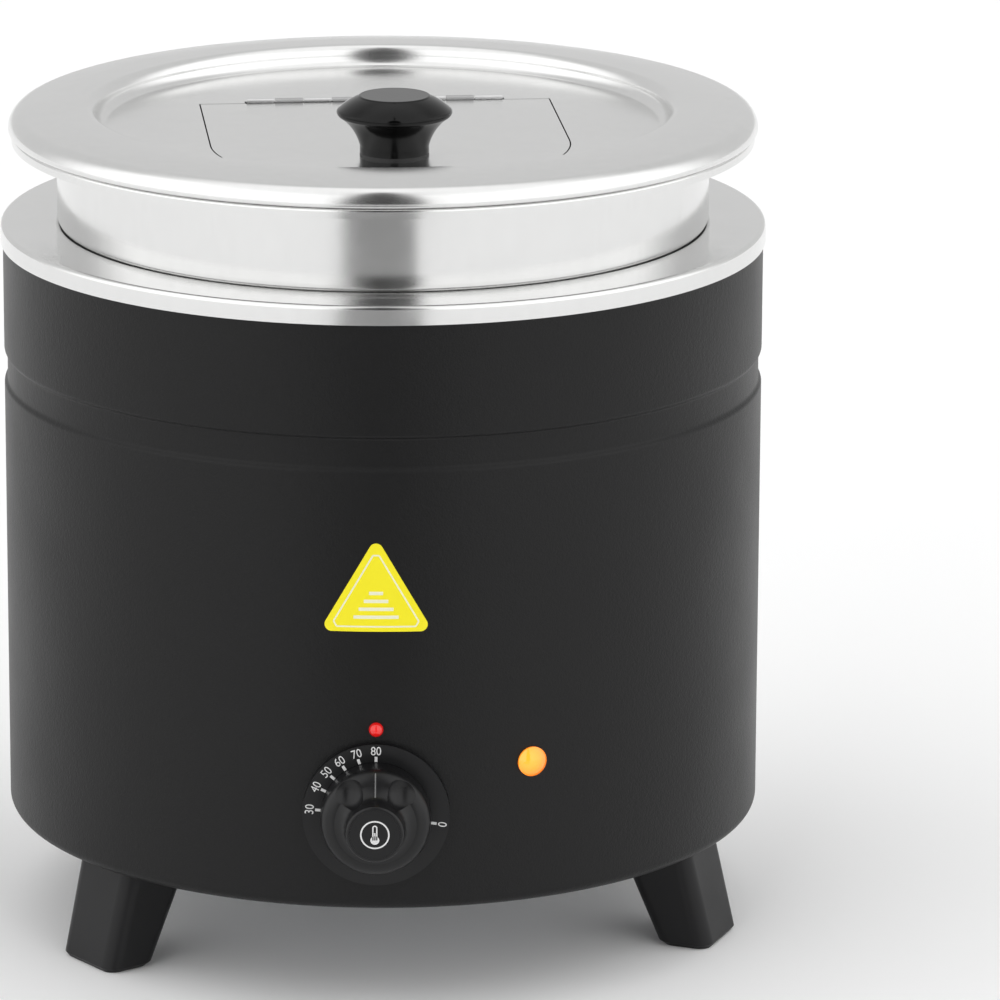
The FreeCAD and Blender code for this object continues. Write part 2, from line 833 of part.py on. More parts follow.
def dial_knob():
    """A control knob with a skirt, a raised boss and two finger hollows beside its pointer."""
    tall = s.dial_knob_height
    wall, bend = s.dial_wall_height, s.dial_shoulder_round
    shoulder = s.dial_knob_radius - bend
    edge = s.dial_boss_round
    neck_run = shoulder - s.dial_boss_radius
    neck_rise = s.dial_boss_foot - wall - bend
    neck_round = (neck_run * neck_run + neck_rise * neck_rise) / (2 * neck_run)
    section = [
        (dial_cavity_radius, 0), (s.dial_knob_radius, 0), (s.dial_knob_radius, wall),
        (shoulder, wall + bend, bend, 1), (s.dial_boss_radius, s.dial_boss_foot, neck_round, -1),
        (s.dial_boss_radius, tall - edge), (s.dial_boss_radius - edge, tall, edge, 1),
        (dial_cap_radius, tall), (dial_cap_radius, tall - s.dial_cap_thickness),
        (0, tall - s.dial_cap_thickness), (0, s.dial_bore_depth),
        (s.shaft_radius + s.thread_clearance, s.dial_bore_depth),
        (s.shaft_radius + s.thread_clearance, 0), (s.dial_hub_radius, 0),
        (s.dial_hub_radius, s.dial_cavity_depth), (dial_cavity_radius, s.dial_cavity_depth),
    ]
    hollows = []
    for side in (-1, 1):
        angle = s.scallop_angle * side
        hollows.append(ball(s.scallop_radius, s.scallop_offset * sine(angle),
                            s.scallop_offset * cosine(angle), s.scallop_height))
    return node("dial_knob", put(cut(turned(section), *hollows), 0, -knob_back, dial_height, roll=90))


def dial_cap():
    cap = cylinder(dial_cap_radius - s.thread_clearance, s.dial_cap_thickness)
    low = knob_back + s.dial_knob_height - s.dial_cap_thickness
    return node("dial_cap", put(cap, 0, -low, dial_height, roll=90))


def shaft_start():
    return bracket_back - s.shaft_tail


def thermostat_shaft():
    """The control shaft with its flat, which turns with the knob."""
    length = knob_back + s.dial_bore_depth - s.shaft_end_gap - shaft_start()
    rod = cylinder(s.shaft_radius, length)
    flat = box(4 * s.shaft_radius, s.shaft_radius, s.shaft_flat_length, 0, s.shaft_radius - s.shaft_flat,
               length - s.shaft_flat_length)
    return node("thermostat_shaft", put(cut(rod, flat), 0, -shaft_start(), dial_height, roll=90))


def thermostat():
    """The thermostat's case and threaded bushing, with three blade terminals behind."""
    case = put(cylinder(s.thermostat_radius, s.thermostat_depth), 0,
               -(bracket_back - s.thermostat_depth), dial_height, roll=90)
    bushing = put(cylinder(s.bushing_radius, plate_front - bracket_back + s.thermostat_depth / 2), 0,
                  s.thermostat_depth / 2 - bracket_back, dial_height, roll=90)
    blades = [box(s.blade_width, s.blade_length + s.blade_root, s.blade_thickness,
                  s.thermostat_blade_spacing * side, s.thermostat_depth - bracket_back - s.blade_root,
                  dial_height - s.thermostat_radius / 2) for side in (-1, 0, 1)]
    bore = put(cylinder(s.shaft_radius + s.shaft_running_clearance,
                        plate_front - shaft_start() + s.drill_margin), 0, s.shaft_end_gap - shaft_start(),
               dial_height, roll=90)
    return node("thermostat", cut(fuse(case, bushing, *blades), bore))


def thermostat_bracket():
    plate = box(s.bracket_width, s.bracket_thickness, s.bracket_height, 0, -bracket_front,
                dial_height - s.bracket_height / 2)
    deep = 4 * s.bracket_thickness
    start = -(bracket_back - s.bracket_thickness)
    holes = [put(cylinder(s.bushing_radius + s.bushing_clearance, deep), 0, start, dial_height, roll=90)]
    for x, height in thermostat_screw_places():
        holes.append(put(cylinder(s.thermostat_screw_radius + s.thread_clearance, deep), x, start, height,
                         roll=90))
    casing = cylinder(s.shell_radius + s.shell_radius, 2 * s.bracket_height, 0, 0,
                      dial_height - s.bracket_height)
    inside = cylinder(shell_inner, 2 * s.bracket_height, 0, 0, dial_height - s.bracket_height)
    return node("thermostat_bracket", cut(plate, *holes, cut(casing, inside)))


def thermostat_screws():
    length = plate_front - bracket_back
    screws = [put(screw(s.thermostat_screw_head_radius, s.thermostat_screw_head_height,
                        s.thermostat_screw_radius, length), x, -plate_front, height, roll=90)
              for x, height in thermostat_screw_places()]
    return node("thermostat_screws", group(*screws))


def sensor_bulb():
    """The thermostat's bulb, which lies against the underside of the well."""
    return node("sensor_bulb", cross_cylinder(s.bulb_radius, s.bulb_length, -s.bulb_length / 2,
                                              -bulb_offset, well_underside - s.bulb_radius))


def capillary_tube():
    """The thin tube from the bulb to the back of the thermostat's case."""
    radius, low = s.capillary_radius, dial_height + s.capillary_rise
    high = well_underside - s.bulb_radius
    start, far = s.bulb_length / 2, s.bulb_length / 2 + s.capillary_run
    case_back = s.thermostat_depth - bracket_back
    runs = [
        cross_cylinder(radius, s.capillary_run, start, -bulb_offset, high),
        cylinder(radius, high - low, far, -bulb_offset, low),
        cross_cylinder(radius, far - s.capillary_x, s.capillary_x, -bulb_offset, low),
        put(cylinder(radius, -bulb_offset - case_back), s.capillary_x, -bulb_offset, low, roll=90),
    ]
    bends = [ball(radius, x, -bulb_offset, z) for x, z in ((far, high), (far, low), (s.capillary_x, low))]
    return node("capillary_tube", fuse(*runs, *bends))


# ---- indicator lamps ---------------------------------------------------------------------------

def indicator(name, angle, height, lens_radius, bulge, stem_radius, body_length):
    """A lens in front of the casing, a lamp body behind it and the clip that holds it."""
    lens_round = (lens_radius * lens_radius + bulge * bulge) / (2 * bulge)
    stem_end = -s.lamp_stem_length
    lens = turned([(0, stem_end), (stem_radius, stem_end), (stem_radius, 0), (lens_radius, 0),
                   (lens_radius, s.lamp_flange), (0, s.lamp_flange + bulge, lens_round, 1)])
    node(name + "_lens", face_out(lens, angle, height, s.shell_radius))
    case = cylinder(stem_radius, body_length)
    pins = [cylinder(s.lamp_pin_radius, 2 * s.lamp_pin_length, x, 0, -s.lamp_pin_length)
            for x in (-stem_radius / 2, stem_radius / 2)]
    lamp = fuse(case, *pins)
    node(name + "_body", face_out(lamp, angle, height, s.shell_radius - s.lamp_stem_length - body_length))
    clip = cut(cylinder(stem_radius + s.lamp_clip_width, s.lamp_clip_thickness),
               put(cylinder(stem_radius + s.thread_clearance, 3 * s.lamp_clip_thickness),
                   z=-s.lamp_clip_thickness))
    behind = shell_inner - s.lamp_clip_thickness - s.panel_hole_clearance
    node(name + "_clip", face_out(clip, angle, height, behind))


def hot_surface_sticker():
    """A thin triangular sticker that follows the casing's curve."""
    half, low = s.sticker_width / 2, sticker_foot
    high = low + s.sticker_rise
    slope = root(half * half + s.sticker_rise * s.sticker_rise)
    across, up = half / slope, s.sticker_rise / slope
    corner = s.sticker_corner
    # each corner is rounded by an arc that starts and ends the same distance from the corner's tip
    foot_trim = corner * (slope + half) / s.sticker_rise
    tip_trim = corner * s.sticker_rise / half
    triangle = [
        (foot_trim - half, low), (half - foot_trim, low),
        (half - foot_trim * across, low + foot_trim * up, corner, 1),
        (tip_trim * across, high - tip_trim * up), (-(tip_trim * across), high - tip_trim * up, corner, 1),
        (foot_trim * across - half, low + foot_trim * up), (foot_trim - half, low, corner, 1),
    ]
    prism = padded(triangle[1:], 2 * s.shell_radius, role="XZ_Plane")
    skin = cut(cylinder(s.shell_radius + s.sticker_thickness, 2 * s.sticker_rise, 0, 0,
                        low - s.sticker_rise / 2),
               cylinder(s.shell_radius, 4 * s.sticker_rise, 0, 0, low - s.sticker_rise))
    patch = doc.addObject("Part::Common", "Common")
    patch.Base = skin
    patch.Tool = prism
    return node("hot_surface_sticker", patch)


# ---- cable gland and terminals -----------------------------------------------------------------

def cable_gland():
    """The supply inlet at the rear: a hexagon against the casing, a domed cap and a threaded tail."""
    hexagon_part = hexagon(s.gland_hex_radius, s.gland_hex_length)
    top = s.gland_hex_length + s.gland_cap_length
    bend = s.gland_cap_radius - s.gland_bore_radius - s.gland_mouth
    cap = turned([(0, -s.gland_tail), (s.gland_thread_radius, -s.gland_tail), (s.gland_thread_radius, 0),
                  (s.gland_cap_radius, s.gland_hex_length - s.gland_cap_foot),
                  (s.gland_cap_radius, top - bend),
                  (s.gland_cap_radius - bend, top, bend, 1), (0, top)])
    bore = put(cylinder(s.gland_bore_radius, 2 * (s.gland_tail + top)), z=-2 * s.gland_tail)
    return node("cable_gland", face_out(cut(fuse(hexagon_part, cap), bore), 180, gland_height,
                                        s.shell_radius))


def gland_nut():
    nut = cut(hexagon(s.gland_hex_radius, s.gland_nut_length),
              put(cylinder(s.gland_thread_radius + s.thread_clearance, 3 * s.gland_nut_length),
                  z=-s.gland_nut_length))
    behind = shell_inner - s.gland_nut_length - 2 * s.panel_hole_clearance
    return node("gland_nut", face_out(nut, 180, gland_height, behind))


def terminal_screw_places():
    middle = terminal_block_offset + s.terminal_block_depth / 2
    return [(s.terminal_pitch * side, middle) for side in (-1, 0, 1)]


def terminal_block():
    """A block on the bottom cover with three screw holes in its top."""
    block = box(s.terminal_block_width, s.terminal_block_depth, s.terminal_block_height,
                0, terminal_block_offset, casing_floor)
    top = casing_floor + s.terminal_block_height
    holes = [cylinder(s.terminal_screw_radius + s.thread_clearance, 2 * s.terminal_screw_length, x, y,
                      top - s.terminal_screw_length) for x, y in terminal_screw_places()]
    return node("terminal_block", cut(block, *holes))


def terminal_screws():
    top = casing_floor + s.terminal_block_height
    screws = [put(screw(s.terminal_screw_head_radius, s.terminal_screw_head_height,
                        s.terminal_screw_radius, s.terminal_screw_length), x, y, top)
              for x, y in terminal_screw_places()]
    return node("terminal_screws", group(*screws))


# ---- pot ---------------------------------------------------------------------------------------

def shoulder_corners(offset):
    """The pot's shoulder from the neck down, for a surface that lies inside the outer one."""
    neck = neck_radius - offset
    lower = pot_radius - offset
    return [(neck, shoulder_top),
            (neck - shoulder_step, shoulder_top - shoulder_rise, shoulder_round, -1),
            (lower, shoulder_bottom, shoulder_round, 1)]


def insert_pot():
    wall = s.pot_wall
    foot = pot_rim_top - s.pot_rim_drop
    rim_bend = pot_rim_top - s.pot_rim_round
    rim_flat = pot_rim_radius - s.pot_rim_round
    neck_inner = neck_radius - wall
    mouth = neck_inner + s.pot_mouth_round
    mouth_bend = pot_rim_top - s.pot_mouth_round
    corner = s.pot_corner
    bottom_inner = pot_bottom_radius - wall
    flat = bottom_inner - corner
    bend = pot_underside + wall + corner
    section = [(pot_rim_radius, foot), (pot_rim_radius, rim_bend),
               (rim_flat, pot_rim_top, s.pot_rim_round, 1), (mouth, pot_rim_top),
               (neck_inner, mouth_bend, s.pot_mouth_round, 1)]
    section += shoulder_corners(wall)
    section += [(bottom_inner, bend), (flat, pot_underside + wall, corner, -1), (0, pot_underside + wall),
                (0, pot_underside), (flat, pot_underside), (pot_bottom_radius, bend, corner + wall, 1)]
    section += reverse_path(shoulder_corners(0))
    section += [(neck_radius, mouth_bend), (mouth, pot_rim_top - wall, s.pot_mouth_round - wall, -1),
                (rim_flat, pot_rim_top - wall),
                (pot_rim_radius - wall, rim_bend, s.pot_rim_round - wall, -1),
                (pot_rim_radius - wall, foot)]
    return node("insert_pot", turned(section))


# ---- lid and flap ------------------------------------------------------------------------------

def flap_outline(grow, rear):
    """The flap's outline: straight sides from its rear edge and a half-round front."""
    half = flap_half_width + grow
    centre = -s.flap_arc_offset
    return [(-half, rear), (-half, centre), (0, centre - half, half, 1), (half, centre, half, 1),
            (half, rear)]


def lid_panel():
    """The lid: curled lip, domed rim, recess and a flat panel with the flap's opening."""
    wall, curl = s.lid_wall, s.lid_curl
    bend = lid_foot + curl
    edge_centre = lid_radius - s.lid_edge_round
    inner_edge = s.lid_edge_round - wall
    dome_x, dome_z = cosine(s.lid_edge_angle), sine(s.lid_edge_angle)
    half_run = (lid_crown_radius - recess_radius) / 2
    half_drop = s.recess_depth / 2
    wave = (half_run * half_run + half_drop * half_drop) / (2 * half_drop)
    middle = recess_radius + half_run
    section = [
        (lid_radius - s.lid_curl_width, lid_foot), (lid_radius - curl, lid_foot),
        (lid_radius, bend, curl, 1),
        (edge_centre + s.lid_edge_round * dome_x, bend + s.lid_edge_round * dome_z, s.lid_edge_round, 1),
        (lid_crown_radius, lid_crown, s.lid_dome_round, 1),
        (middle, lid_crown - half_drop, wave, 1), (recess_radius, panel_top, wave, -1),
        (0, panel_top), (0, panel_bottom), (recess_radius, panel_bottom),
        (middle + wall, lid_crown - half_drop, wave + wall, 1),
        (lid_crown_radius, lid_crown - wall, wave - wall, -1),
        (edge_centre + inner_edge * dome_x, bend + inner_edge * dome_z, s.lid_dome_round - wall, -1),
        (lid_radius - wall, bend, inner_edge, -1),
        (lid_radius - curl, lid_foot + wall, curl - wall, -1),
        (lid_radius - s.lid_curl_width, lid_foot + wall),
    ]
    body = turned(section)
    pocket = body.newObject("PartDesign::Pocket", "FlapOpening")
    pocket.Profile = outline(new_sketch(body, "XY_Plane", lid_crown),
                             flap_outline(s.flap_gap, s.hinge_offset - barrel_half_gap + s.flap_gap))
    pocket.Type = "ThroughAll"
    notch = box(hinge_length + 2 * s.flap_gap, 2 * barrel_half_gap, 4 * s.lid_wall, 0,
                s.hinge_offset - barrel_half_gap, panel_bottom - s.lid_wall)
    return node("lid_panel", put(cut(body, notch), yaw=s.lid_turn))


def lid_flap():
    """The flap with its rest tab, which lies over the edge of the lid's panel."""
    sheet_metal = padded(flap_outline(0, s.hinge_offset - barrel_half_gap), s.lid_wall, lift=panel_bottom)
    start = flap_half_width + s.tab_reach
    x, y = start * sine(s.tab_angle), -(start * cosine(s.tab_angle)) - s.flap_arc_offset
    tab = box(s.tab_width, s.tab_reach + s.tab_root, s.lid_wall, x, y, panel_top + s.tab_clearance,
              yaw=s.tab_angle)
    inner = flap_half_width - s.flap_gap - s.lid_wall
    x, y = inner * sine(s.tab_angle), -(inner * cosine(s.tab_angle)) - s.flap_arc_offset
    step = box(s.tab_width, s.tab_root - s.flap_gap - s.lid_wall, s.tab_clearance + s.lid_wall / 2, x, y,
               panel_top, yaw=s.tab_angle)
    hole = cylinder(s.lid_screw_radius + s.screw_clearance, 4 * s.lid_wall, 0, -s.lid_knob_offset,
                    panel_bottom - s.lid_wall)
    return node("lid_flap", put(cut(fuse(sheet_metal, tab, step), hole), yaw=s.lid_turn))


def knuckle_start(index):
    return hinge_length * index / s.knuckle_count - hinge_length / 2


def hinge_leaf(label, side, first, clearance):
    """A piano-hinge leaf: side is 1 behind the pin and -1 in front of it; first is its first knuckle."""
    count = int(s.knuckle_count.value)
    length = hinge_length / s.knuckle_count
    low = panel_bottom - s.leaf_thickness
    reach = s.knuckle_radius + s.barrel_clearance + 0.1
    near = s.hinge_offset if side > 0 else s.hinge_offset - s.leaf_width
    plate = box(hinge_length, s.leaf_width, s.leaf_thickness, 0, near, low)
    knuckles, clearings = [], []
    for index in range(count):
        start = knuckle_start(index)
        if index % 2 == first:
            knuckles.append(cross_cylinder(s.knuckle_radius, length - 2 * s.knuckle_gap,
                                           start + s.knuckle_gap, s.hinge_offset, hinge_axis_height))
        else:
            clearings.append(box(length, 2 * reach, 6 * s.knuckle_radius, start + length / 2,
                                 s.hinge_offset - reach, low - s.knuckle_radius))
    for index in range(count + 1):
        clearings.append(box(2 * s.knuckle_gap, 2 * reach, 6 * s.knuckle_radius, knuckle_start(index),
                             s.hinge_offset - reach, low - s.knuckle_radius))
    bore = cross_cylinder(s.hinge_pin_radius + clearance, 2 * hinge_length, -hinge_length,
                          s.hinge_offset, hinge_axis_height)
    return node(label, put(cut(fuse(plate, *knuckles), *clearings, bore), yaw=s.lid_turn))


def hinge_pin():
    pin = cross_cylinder(s.hinge_pin_radius, hinge_length, -hinge_length / 2, s.hinge_offset,
                         hinge_axis_height)
    return node("hinge_pin", put(group(pin), yaw=s.lid_turn))


def put_on_flap(thing, height, roll=0):
    """Stands an object on the flap at the knob's place, or hangs it there when it is rolled over."""
    return put(thing, s.lid_knob_offset * sine(s.lid_turn), -(s.lid_knob_offset * cosine(s.lid_turn)),
               height, yaw=s.lid_turn, roll=roll)


def lid_knob():
    """A mushroom knob: straight foot, flared stem, wide bevelled head with a flat crown."""
    foot, top, edge = s.lid_washer_thickness, s.lid_knob_height, s.lid_knob_edge
    stem, wide, crown = s.lid_knob_stem_radius, s.lid_knob_radius, s.lid_knob_crown_radius
    lip, bevel, crown_round = s.lid_knob_edge_round, s.lid_knob_bevel_round, s.lid_knob_crown_round
    section = [
        (0, foot), (stem, foot), (stem, s.lid_knob_stem_height),
        (wide - s.lid_knob_lip_width, edge - s.lid_knob_lip_height, s.lid_knob_flare_round, -1),
        (wide, edge, s.lid_knob_lip_round, 1), (wide - lip / 2, edge + lip, lip, 1),
        (crown + crown_round / 2, top - crown_round / 3, bevel, 1),
        (crown - crown_round / 2, top, crown_round, 1), (0, top),
    ]
    hole = cylinder(s.lid_screw_radius + s.thread_clearance, s.lid_screw_grip)
    return node("lid_knob", put_on_flap(cut(turned(section), hole), panel_top))


def lid_knob_washer():
    washer = cut(cylinder(s.lid_knob_stem_radius, s.lid_washer_thickness),
                 drill_down(s.lid_screw_radius + s.screw_clearance, 0, 0, 0, s.lid_washer_thickness))
    return node("lid_knob_washer", put_on_flap(washer, panel_top))


def lid_knob_screw():
    length = s.lid_wall + s.lid_screw_grip - s.lid_screw_end_gap
    head = screw(s.lid_screw_head_radius, s.lid_screw_head_height, s.lid_screw_radius, length)
    return node("lid_knob_screw", put_on_flap(head, panel_bottom, roll=180))


# ---- the assembly ------------------------------------------------------------------------------

outer_shell()
water_well()
for leg_name, leg_start in LEGS.items():
    leg(leg_name, leg_start)
leg_screws()
bottom_cover()
cover_screws()
heater_plate()
heating_element()
heater_clamp()
heater_stud()
heater_nut()
thermal_cutout()
dial_plate()
dial_knob()
dial_cap()
thermostat_shaft()
thermostat()
thermostat_bracket()
thermostat_screws()
sensor_bulb()
capillary_tube()
indicator("power_lamp", s.power_lamp_angle, power_lamp_height, s.power_lens_radius,
          s.power_lens_bulge, s.power_stem_radius, s.power_body_length)
indicator("heating_lamp", s.heating_lamp_angle, heating_lamp_height, s.heating_lens_radius,
          s.heating_lens_bulge, s.heating_stem_radius, s.heating_body_length)
hot_surface_sticker()
cable_gland()
gland_nut()
terminal_block()
terminal_screws()
insert_pot()
lid_panel()
lid_flap()
hinge_leaf("hinge_leaf_fixed", 1, 0, 0)
hinge_leaf("hinge_leaf_moving", -1, 1, s.hinge_running_clearance)
hinge_pin()
lid_knob()
lid_knob_washer()
lid_knob_screw()
doc.recompute()

faults = [thing.Label for thing in doc.Objects if "Invalid" in thing.State or "Error" in thing.State]
faults += [thing.Label for thing in NODES if thing.Shape.isNull() or not thing.Shape.isValid()]
if faults:
    raise SystemExit("failed objects: " + ", ".join(faults))

os.makedirs("parts", exist_ok=True)
for thing in NODES:
    thing.Shape.exportStep("parts/%s.step" % thing.Label)
    print("%-20s %8.1f cm3  %d solid(s)" % (thing.Label, thing.Shape.Volume / 1000, len(thing.Shape.Solids)))
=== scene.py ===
import json
import math

import bmesh
import bpy
from mathutils import Matrix, Vector

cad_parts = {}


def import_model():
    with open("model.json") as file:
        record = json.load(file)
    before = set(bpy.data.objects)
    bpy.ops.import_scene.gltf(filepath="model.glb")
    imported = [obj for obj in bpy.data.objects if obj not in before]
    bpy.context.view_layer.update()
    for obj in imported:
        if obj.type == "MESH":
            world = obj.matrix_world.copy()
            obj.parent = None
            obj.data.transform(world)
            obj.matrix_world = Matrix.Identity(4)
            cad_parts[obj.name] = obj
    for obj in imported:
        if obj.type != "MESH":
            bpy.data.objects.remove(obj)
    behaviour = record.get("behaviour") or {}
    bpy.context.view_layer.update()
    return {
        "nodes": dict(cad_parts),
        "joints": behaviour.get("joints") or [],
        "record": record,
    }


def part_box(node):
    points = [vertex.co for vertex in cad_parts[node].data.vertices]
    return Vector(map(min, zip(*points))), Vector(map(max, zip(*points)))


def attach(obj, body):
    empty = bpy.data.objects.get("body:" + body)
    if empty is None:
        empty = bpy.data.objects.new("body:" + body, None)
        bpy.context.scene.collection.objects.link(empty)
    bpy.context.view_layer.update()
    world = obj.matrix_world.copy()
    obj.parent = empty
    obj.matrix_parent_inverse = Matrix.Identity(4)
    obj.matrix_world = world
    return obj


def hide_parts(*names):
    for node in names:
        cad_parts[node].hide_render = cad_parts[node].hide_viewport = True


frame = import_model()

MM = 0.001


# ---- places and sizes, from the frame and from named values, in metres -------------------------

SHELL_RADIUS = 168 * MM
SHELL_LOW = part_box("outer_shell")[0].z
SHELL_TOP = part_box("outer_shell")[1].z
RING_RADIUS = 169 * MM
RING_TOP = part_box("water_well")[1].z
WELL_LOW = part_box("water_well")[0].z
POT_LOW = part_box("insert_pot")[0].z
POT_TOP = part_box("insert_pot")[1].z
LID_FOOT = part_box("lid_panel")[0].z
LID_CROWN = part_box("lid_panel")[1].z
JOINTS = {joint["name"]: joint for joint in frame["joints"]}
LID_TURN = math.atan2(-JOINTS["flap_hinge"]["axis"][1], -JOINTS["flap_hinge"]["axis"][0])
HINGE_OFFSET = math.hypot(*JOINTS["flap_hinge"]["pos_m"][:2])
DIAL = Vector(JOINTS["dial_turn"]["pos_m"])
PLATE_FRONT = -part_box("dial_plate")[0].y


# ---- outlines and meshes -----------------------------------------------------------------------

LATHE_SEGMENTS = 288
MERGE_DISTANCE = 0.001 * MM
SHARP_ANGLE = math.radians(38)
ON_AXIS = 1e-7


def arc_points(start, end, radius, turn, step):
    """Points after start along the shorter arc to end: turn is 1 for a left bend, -1 for a right one."""
    chord = end - start
    half = chord.length / 2
    rise = math.sqrt(max(radius * radius - half * half, 0.0))
    centre = (start + end) / 2 + Vector((-chord.y, chord.x)).normalized() * rise * turn
    first = math.atan2(start.y - centre.y, start.x - centre.x)
    sweep = 2 * math.asin(min(half / radius, 1.0)) * turn
    count = max(2, math.ceil(abs(sweep) / step))
    bearings = [first + sweep * k / count for k in range(1, count + 1)]
    return [centre + radius * Vector((math.cos(bearing), math.sin(bearing))) for bearing in bearings]


def trace(corners, closed=True, step=math.radians(7)):
    """A polyline from corners (x, y), or (x, y, radius, turn) where an arc leads to the corner."""
    points = []
    for index, corner in enumerate(corners):
        end = Vector(corner[:2])
        if len(corner) == 2 or (index == 0 and not closed):
            points.append(end)
        else:
            start = Vector(corners[index - 1][:2])
            points += arc_points(start, end, corner[2], corner[3], step)
    return points


def reverse_path(corners):
    """The same open path walked the other way."""
    path, arriving = [], ()
    for corner in reversed(corners):
        path.append(tuple(corner[:2]) + arriving)
        arriving = (corner[2], -corner[3]) if len(corner) == 4 else ()
    return path


def finish_mesh(name, bm):
    """An object from a bmesh, smooth but for its sharp edges."""
    bmesh.ops.remove_doubles(bm, verts=bm.verts, dist=MERGE_DISTANCE)
    bmesh.ops.recalc_face_normals(bm, faces=bm.faces)
    mesh = bpy.data.meshes.new(name)
    bm.to_mesh(mesh)
    bm.free()
    mesh.shade_smooth()
    mesh.set_sharp_from_angle(angle=SHARP_ANGLE)
    thing = bpy.data.objects.new(name, mesh)
    bpy.context.scene.collection.objects.link(thing)
    return thing


def spin(bm, points, segments, closed=True):
    """Adds the surface that a section (radius, height) sweeps round the Z axis."""
    rings = []
    for point in points:
        if point.x < ON_AXIS:
            rings.append([bm.verts.new((0, 0, point.y))] * segments)
        else:
            rings.append([bm.verts.new((point.x * math.sin(2 * math.pi * k / segments),
                                        -point.x * math.cos(2 * math.pi * k / segments), point.y))
                          for k in range(segments)])
    spans = len(points) if closed else len(points) - 1
    for index in range(spans):
        lower, upper = rings[index], rings[(index + 1) % len(points)]
        for k in range(segments):
            following = (k + 1) % segments
            corners = []
            for vert in (lower[k], lower[following], upper[following], upper[k]):
                if vert not in corners:
                    corners.append(vert)
            if len(corners) > 2:
                bm.faces.new(corners)


def lathe(name, corners):
    """A solid of revolution from a closed section (radius, height)."""
    bm = bmesh.new()
    spin(bm, trace(corners), LATHE_SEGMENTS)
    return finish_mesh(name, bm)


def give(thing, material, body, slot, *nodes):
    """Finishes a piece: its material, the body that it rides on and the nodes it replaces; the slot
    argument is not used.
    """
    thing.data.materials.clear()
    thing.data.materials.append(material)
    if nodes:
        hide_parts(*nodes)
    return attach(thing, body)


# ---- materials ---------------------------------------------------------------------------------

def new_material(name, color, metallic=0.0, roughness=0.5):
    material = bpy.data.materials.new(name)
    material.use_nodes = True
    shader = material.node_tree.nodes["Principled BSDF"]
    shader.inputs["Base Color"].default_value = (*color, 1)
    shader.inputs["Metallic"].default_value = metallic
    shader.inputs["Roughness"].default_value = roughness
    return material, material.node_tree, shader


def add_node(tree, kind, **settings):
    made = tree.nodes.new(kind)
    for name, value in settings.items():
        if name in made.inputs:
            made.inputs[name].default_value = value
        else:
            setattr(made, name, value)
    return made


def noise(tree, source, scale, detail=3.0, stretch=(1, 1, 1), rough=0.55):
    """A noise value in object space, stretched along the axes."""
    mapping = add_node(tree, "ShaderNodeMapping")
    mapping.inputs["Scale"].default_value = stretch
    tree.links.new(source, mapping.inputs["Vector"])
    texture = add_node(tree, "ShaderNodeTexNoise", Scale=scale, Detail=detail, Roughness=rough)
    tree.links.new(mapping.outputs["Vector"], texture.inputs["Vector"])
    return texture.outputs["Fac"]


def object_space(tree):
    return add_node(tree, "ShaderNodeTexCoord").outputs["Object"]


def spread(tree, value, low, high, into):
    """Maps a 0 to 1 value to a range and links it to a socket."""
    ramp = add_node(tree, "ShaderNodeMapRange", interpolation_type="SMOOTHSTEP")
    ramp.inputs["From Min"].default_value = 0.2
    ramp.inputs["From Max"].default_value = 0.8
    ramp.inputs["To Min"].default_value = low
    ramp.inputs["To Max"].default_value = high
    tree.links.new(value, ramp.inputs["Value"])
    tree.links.new(ramp.outputs["Result"], into)


def tint(tree, value, dark, light, shader):
    """Varies the base colour between two colours."""
    mix = add_node(tree, "ShaderNodeMix", data_type="RGBA")
    for socket in mix.inputs:
        if socket.type == "RGBA" and socket.name == "A":
            socket.default_value = (*dark, 1)
        if socket.type == "RGBA" and socket.name == "B":
            socket.default_value = (*light, 1)
    tree.links.new(value, mix.inputs["Factor"])
    result = [socket for socket in mix.outputs if socket.type == "RGBA"][0]
    tree.links.new(result, shader.inputs["Base Color"])


def bump(tree, shader, heights, strength=1.0):
    """Chains bumps: heights are (value, depth in metres)."""
    normal = None
    for value, depth in heights:
        made = add_node(tree, "ShaderNodeBump", Strength=strength, Distance=depth)
        tree.links.new(value, made.inputs["Height"])
        if normal is not None:
            tree.links.new(normal, made.inputs["Normal"])
        normal = made.outputs["Normal"]
    tree.links.new(normal, shader.inputs["Normal"])


def around_axis(tree):
    """Coordinates (radius, radius, height), so that noise on them runs in rings round the axis."""
    split = add_node(tree, "ShaderNodeSeparateXYZ")
    tree.links.new(object_space(tree), split.inputs["Vector"])
    flat = add_node(tree, "ShaderNodeCombineXYZ")
    tree.links.new(split.outputs["X"], flat.inputs["X"])
    tree.links.new(split.outputs["Y"], flat.inputs["Y"])
    length = add_node(tree, "ShaderNodeVectorMath", operation="LENGTH")
    tree.links.new(flat.outputs["Vector"], length.inputs[0])
    joined = add_node(tree, "ShaderNodeCombineXYZ")
    tree.links.new(length.outputs["Value"], joined.inputs["X"])
    tree.links.new(split.outputs["Z"], joined.inputs["Z"])
    return joined.outputs["Vector"]


def steel(name, color=(0.78, 0.78, 0.775), roughness=0.2, grain="rings", depth=0.004 * MM, marks=0.05):
    """Brushed stainless: fine scratches along the grain, soft blotches in its gloss."""
    material, tree, shader = new_material(name, color, 1.0, roughness)
    if grain == "rings":
        lines = noise(tree, around_axis(tree), 900, 2.0, (1, 1, 1))
    else:
        lines = noise(tree, object_space(tree), 700, 3.0, (0.012, 1, 1))
    cloud = noise(tree, object_space(tree), 28, 4.0)
    scuffs = noise(tree, object_space(tree), 260, 5.0, (1, 1, 0.25))
    spread(tree, cloud, roughness - marks, roughness + marks, shader.inputs["Roughness"])
    shade = tuple(c * 0.93 for c in color)
    tint(tree, scuffs, shade, color, shader)
    bump(tree, shader, [(lines, depth)])
    return material


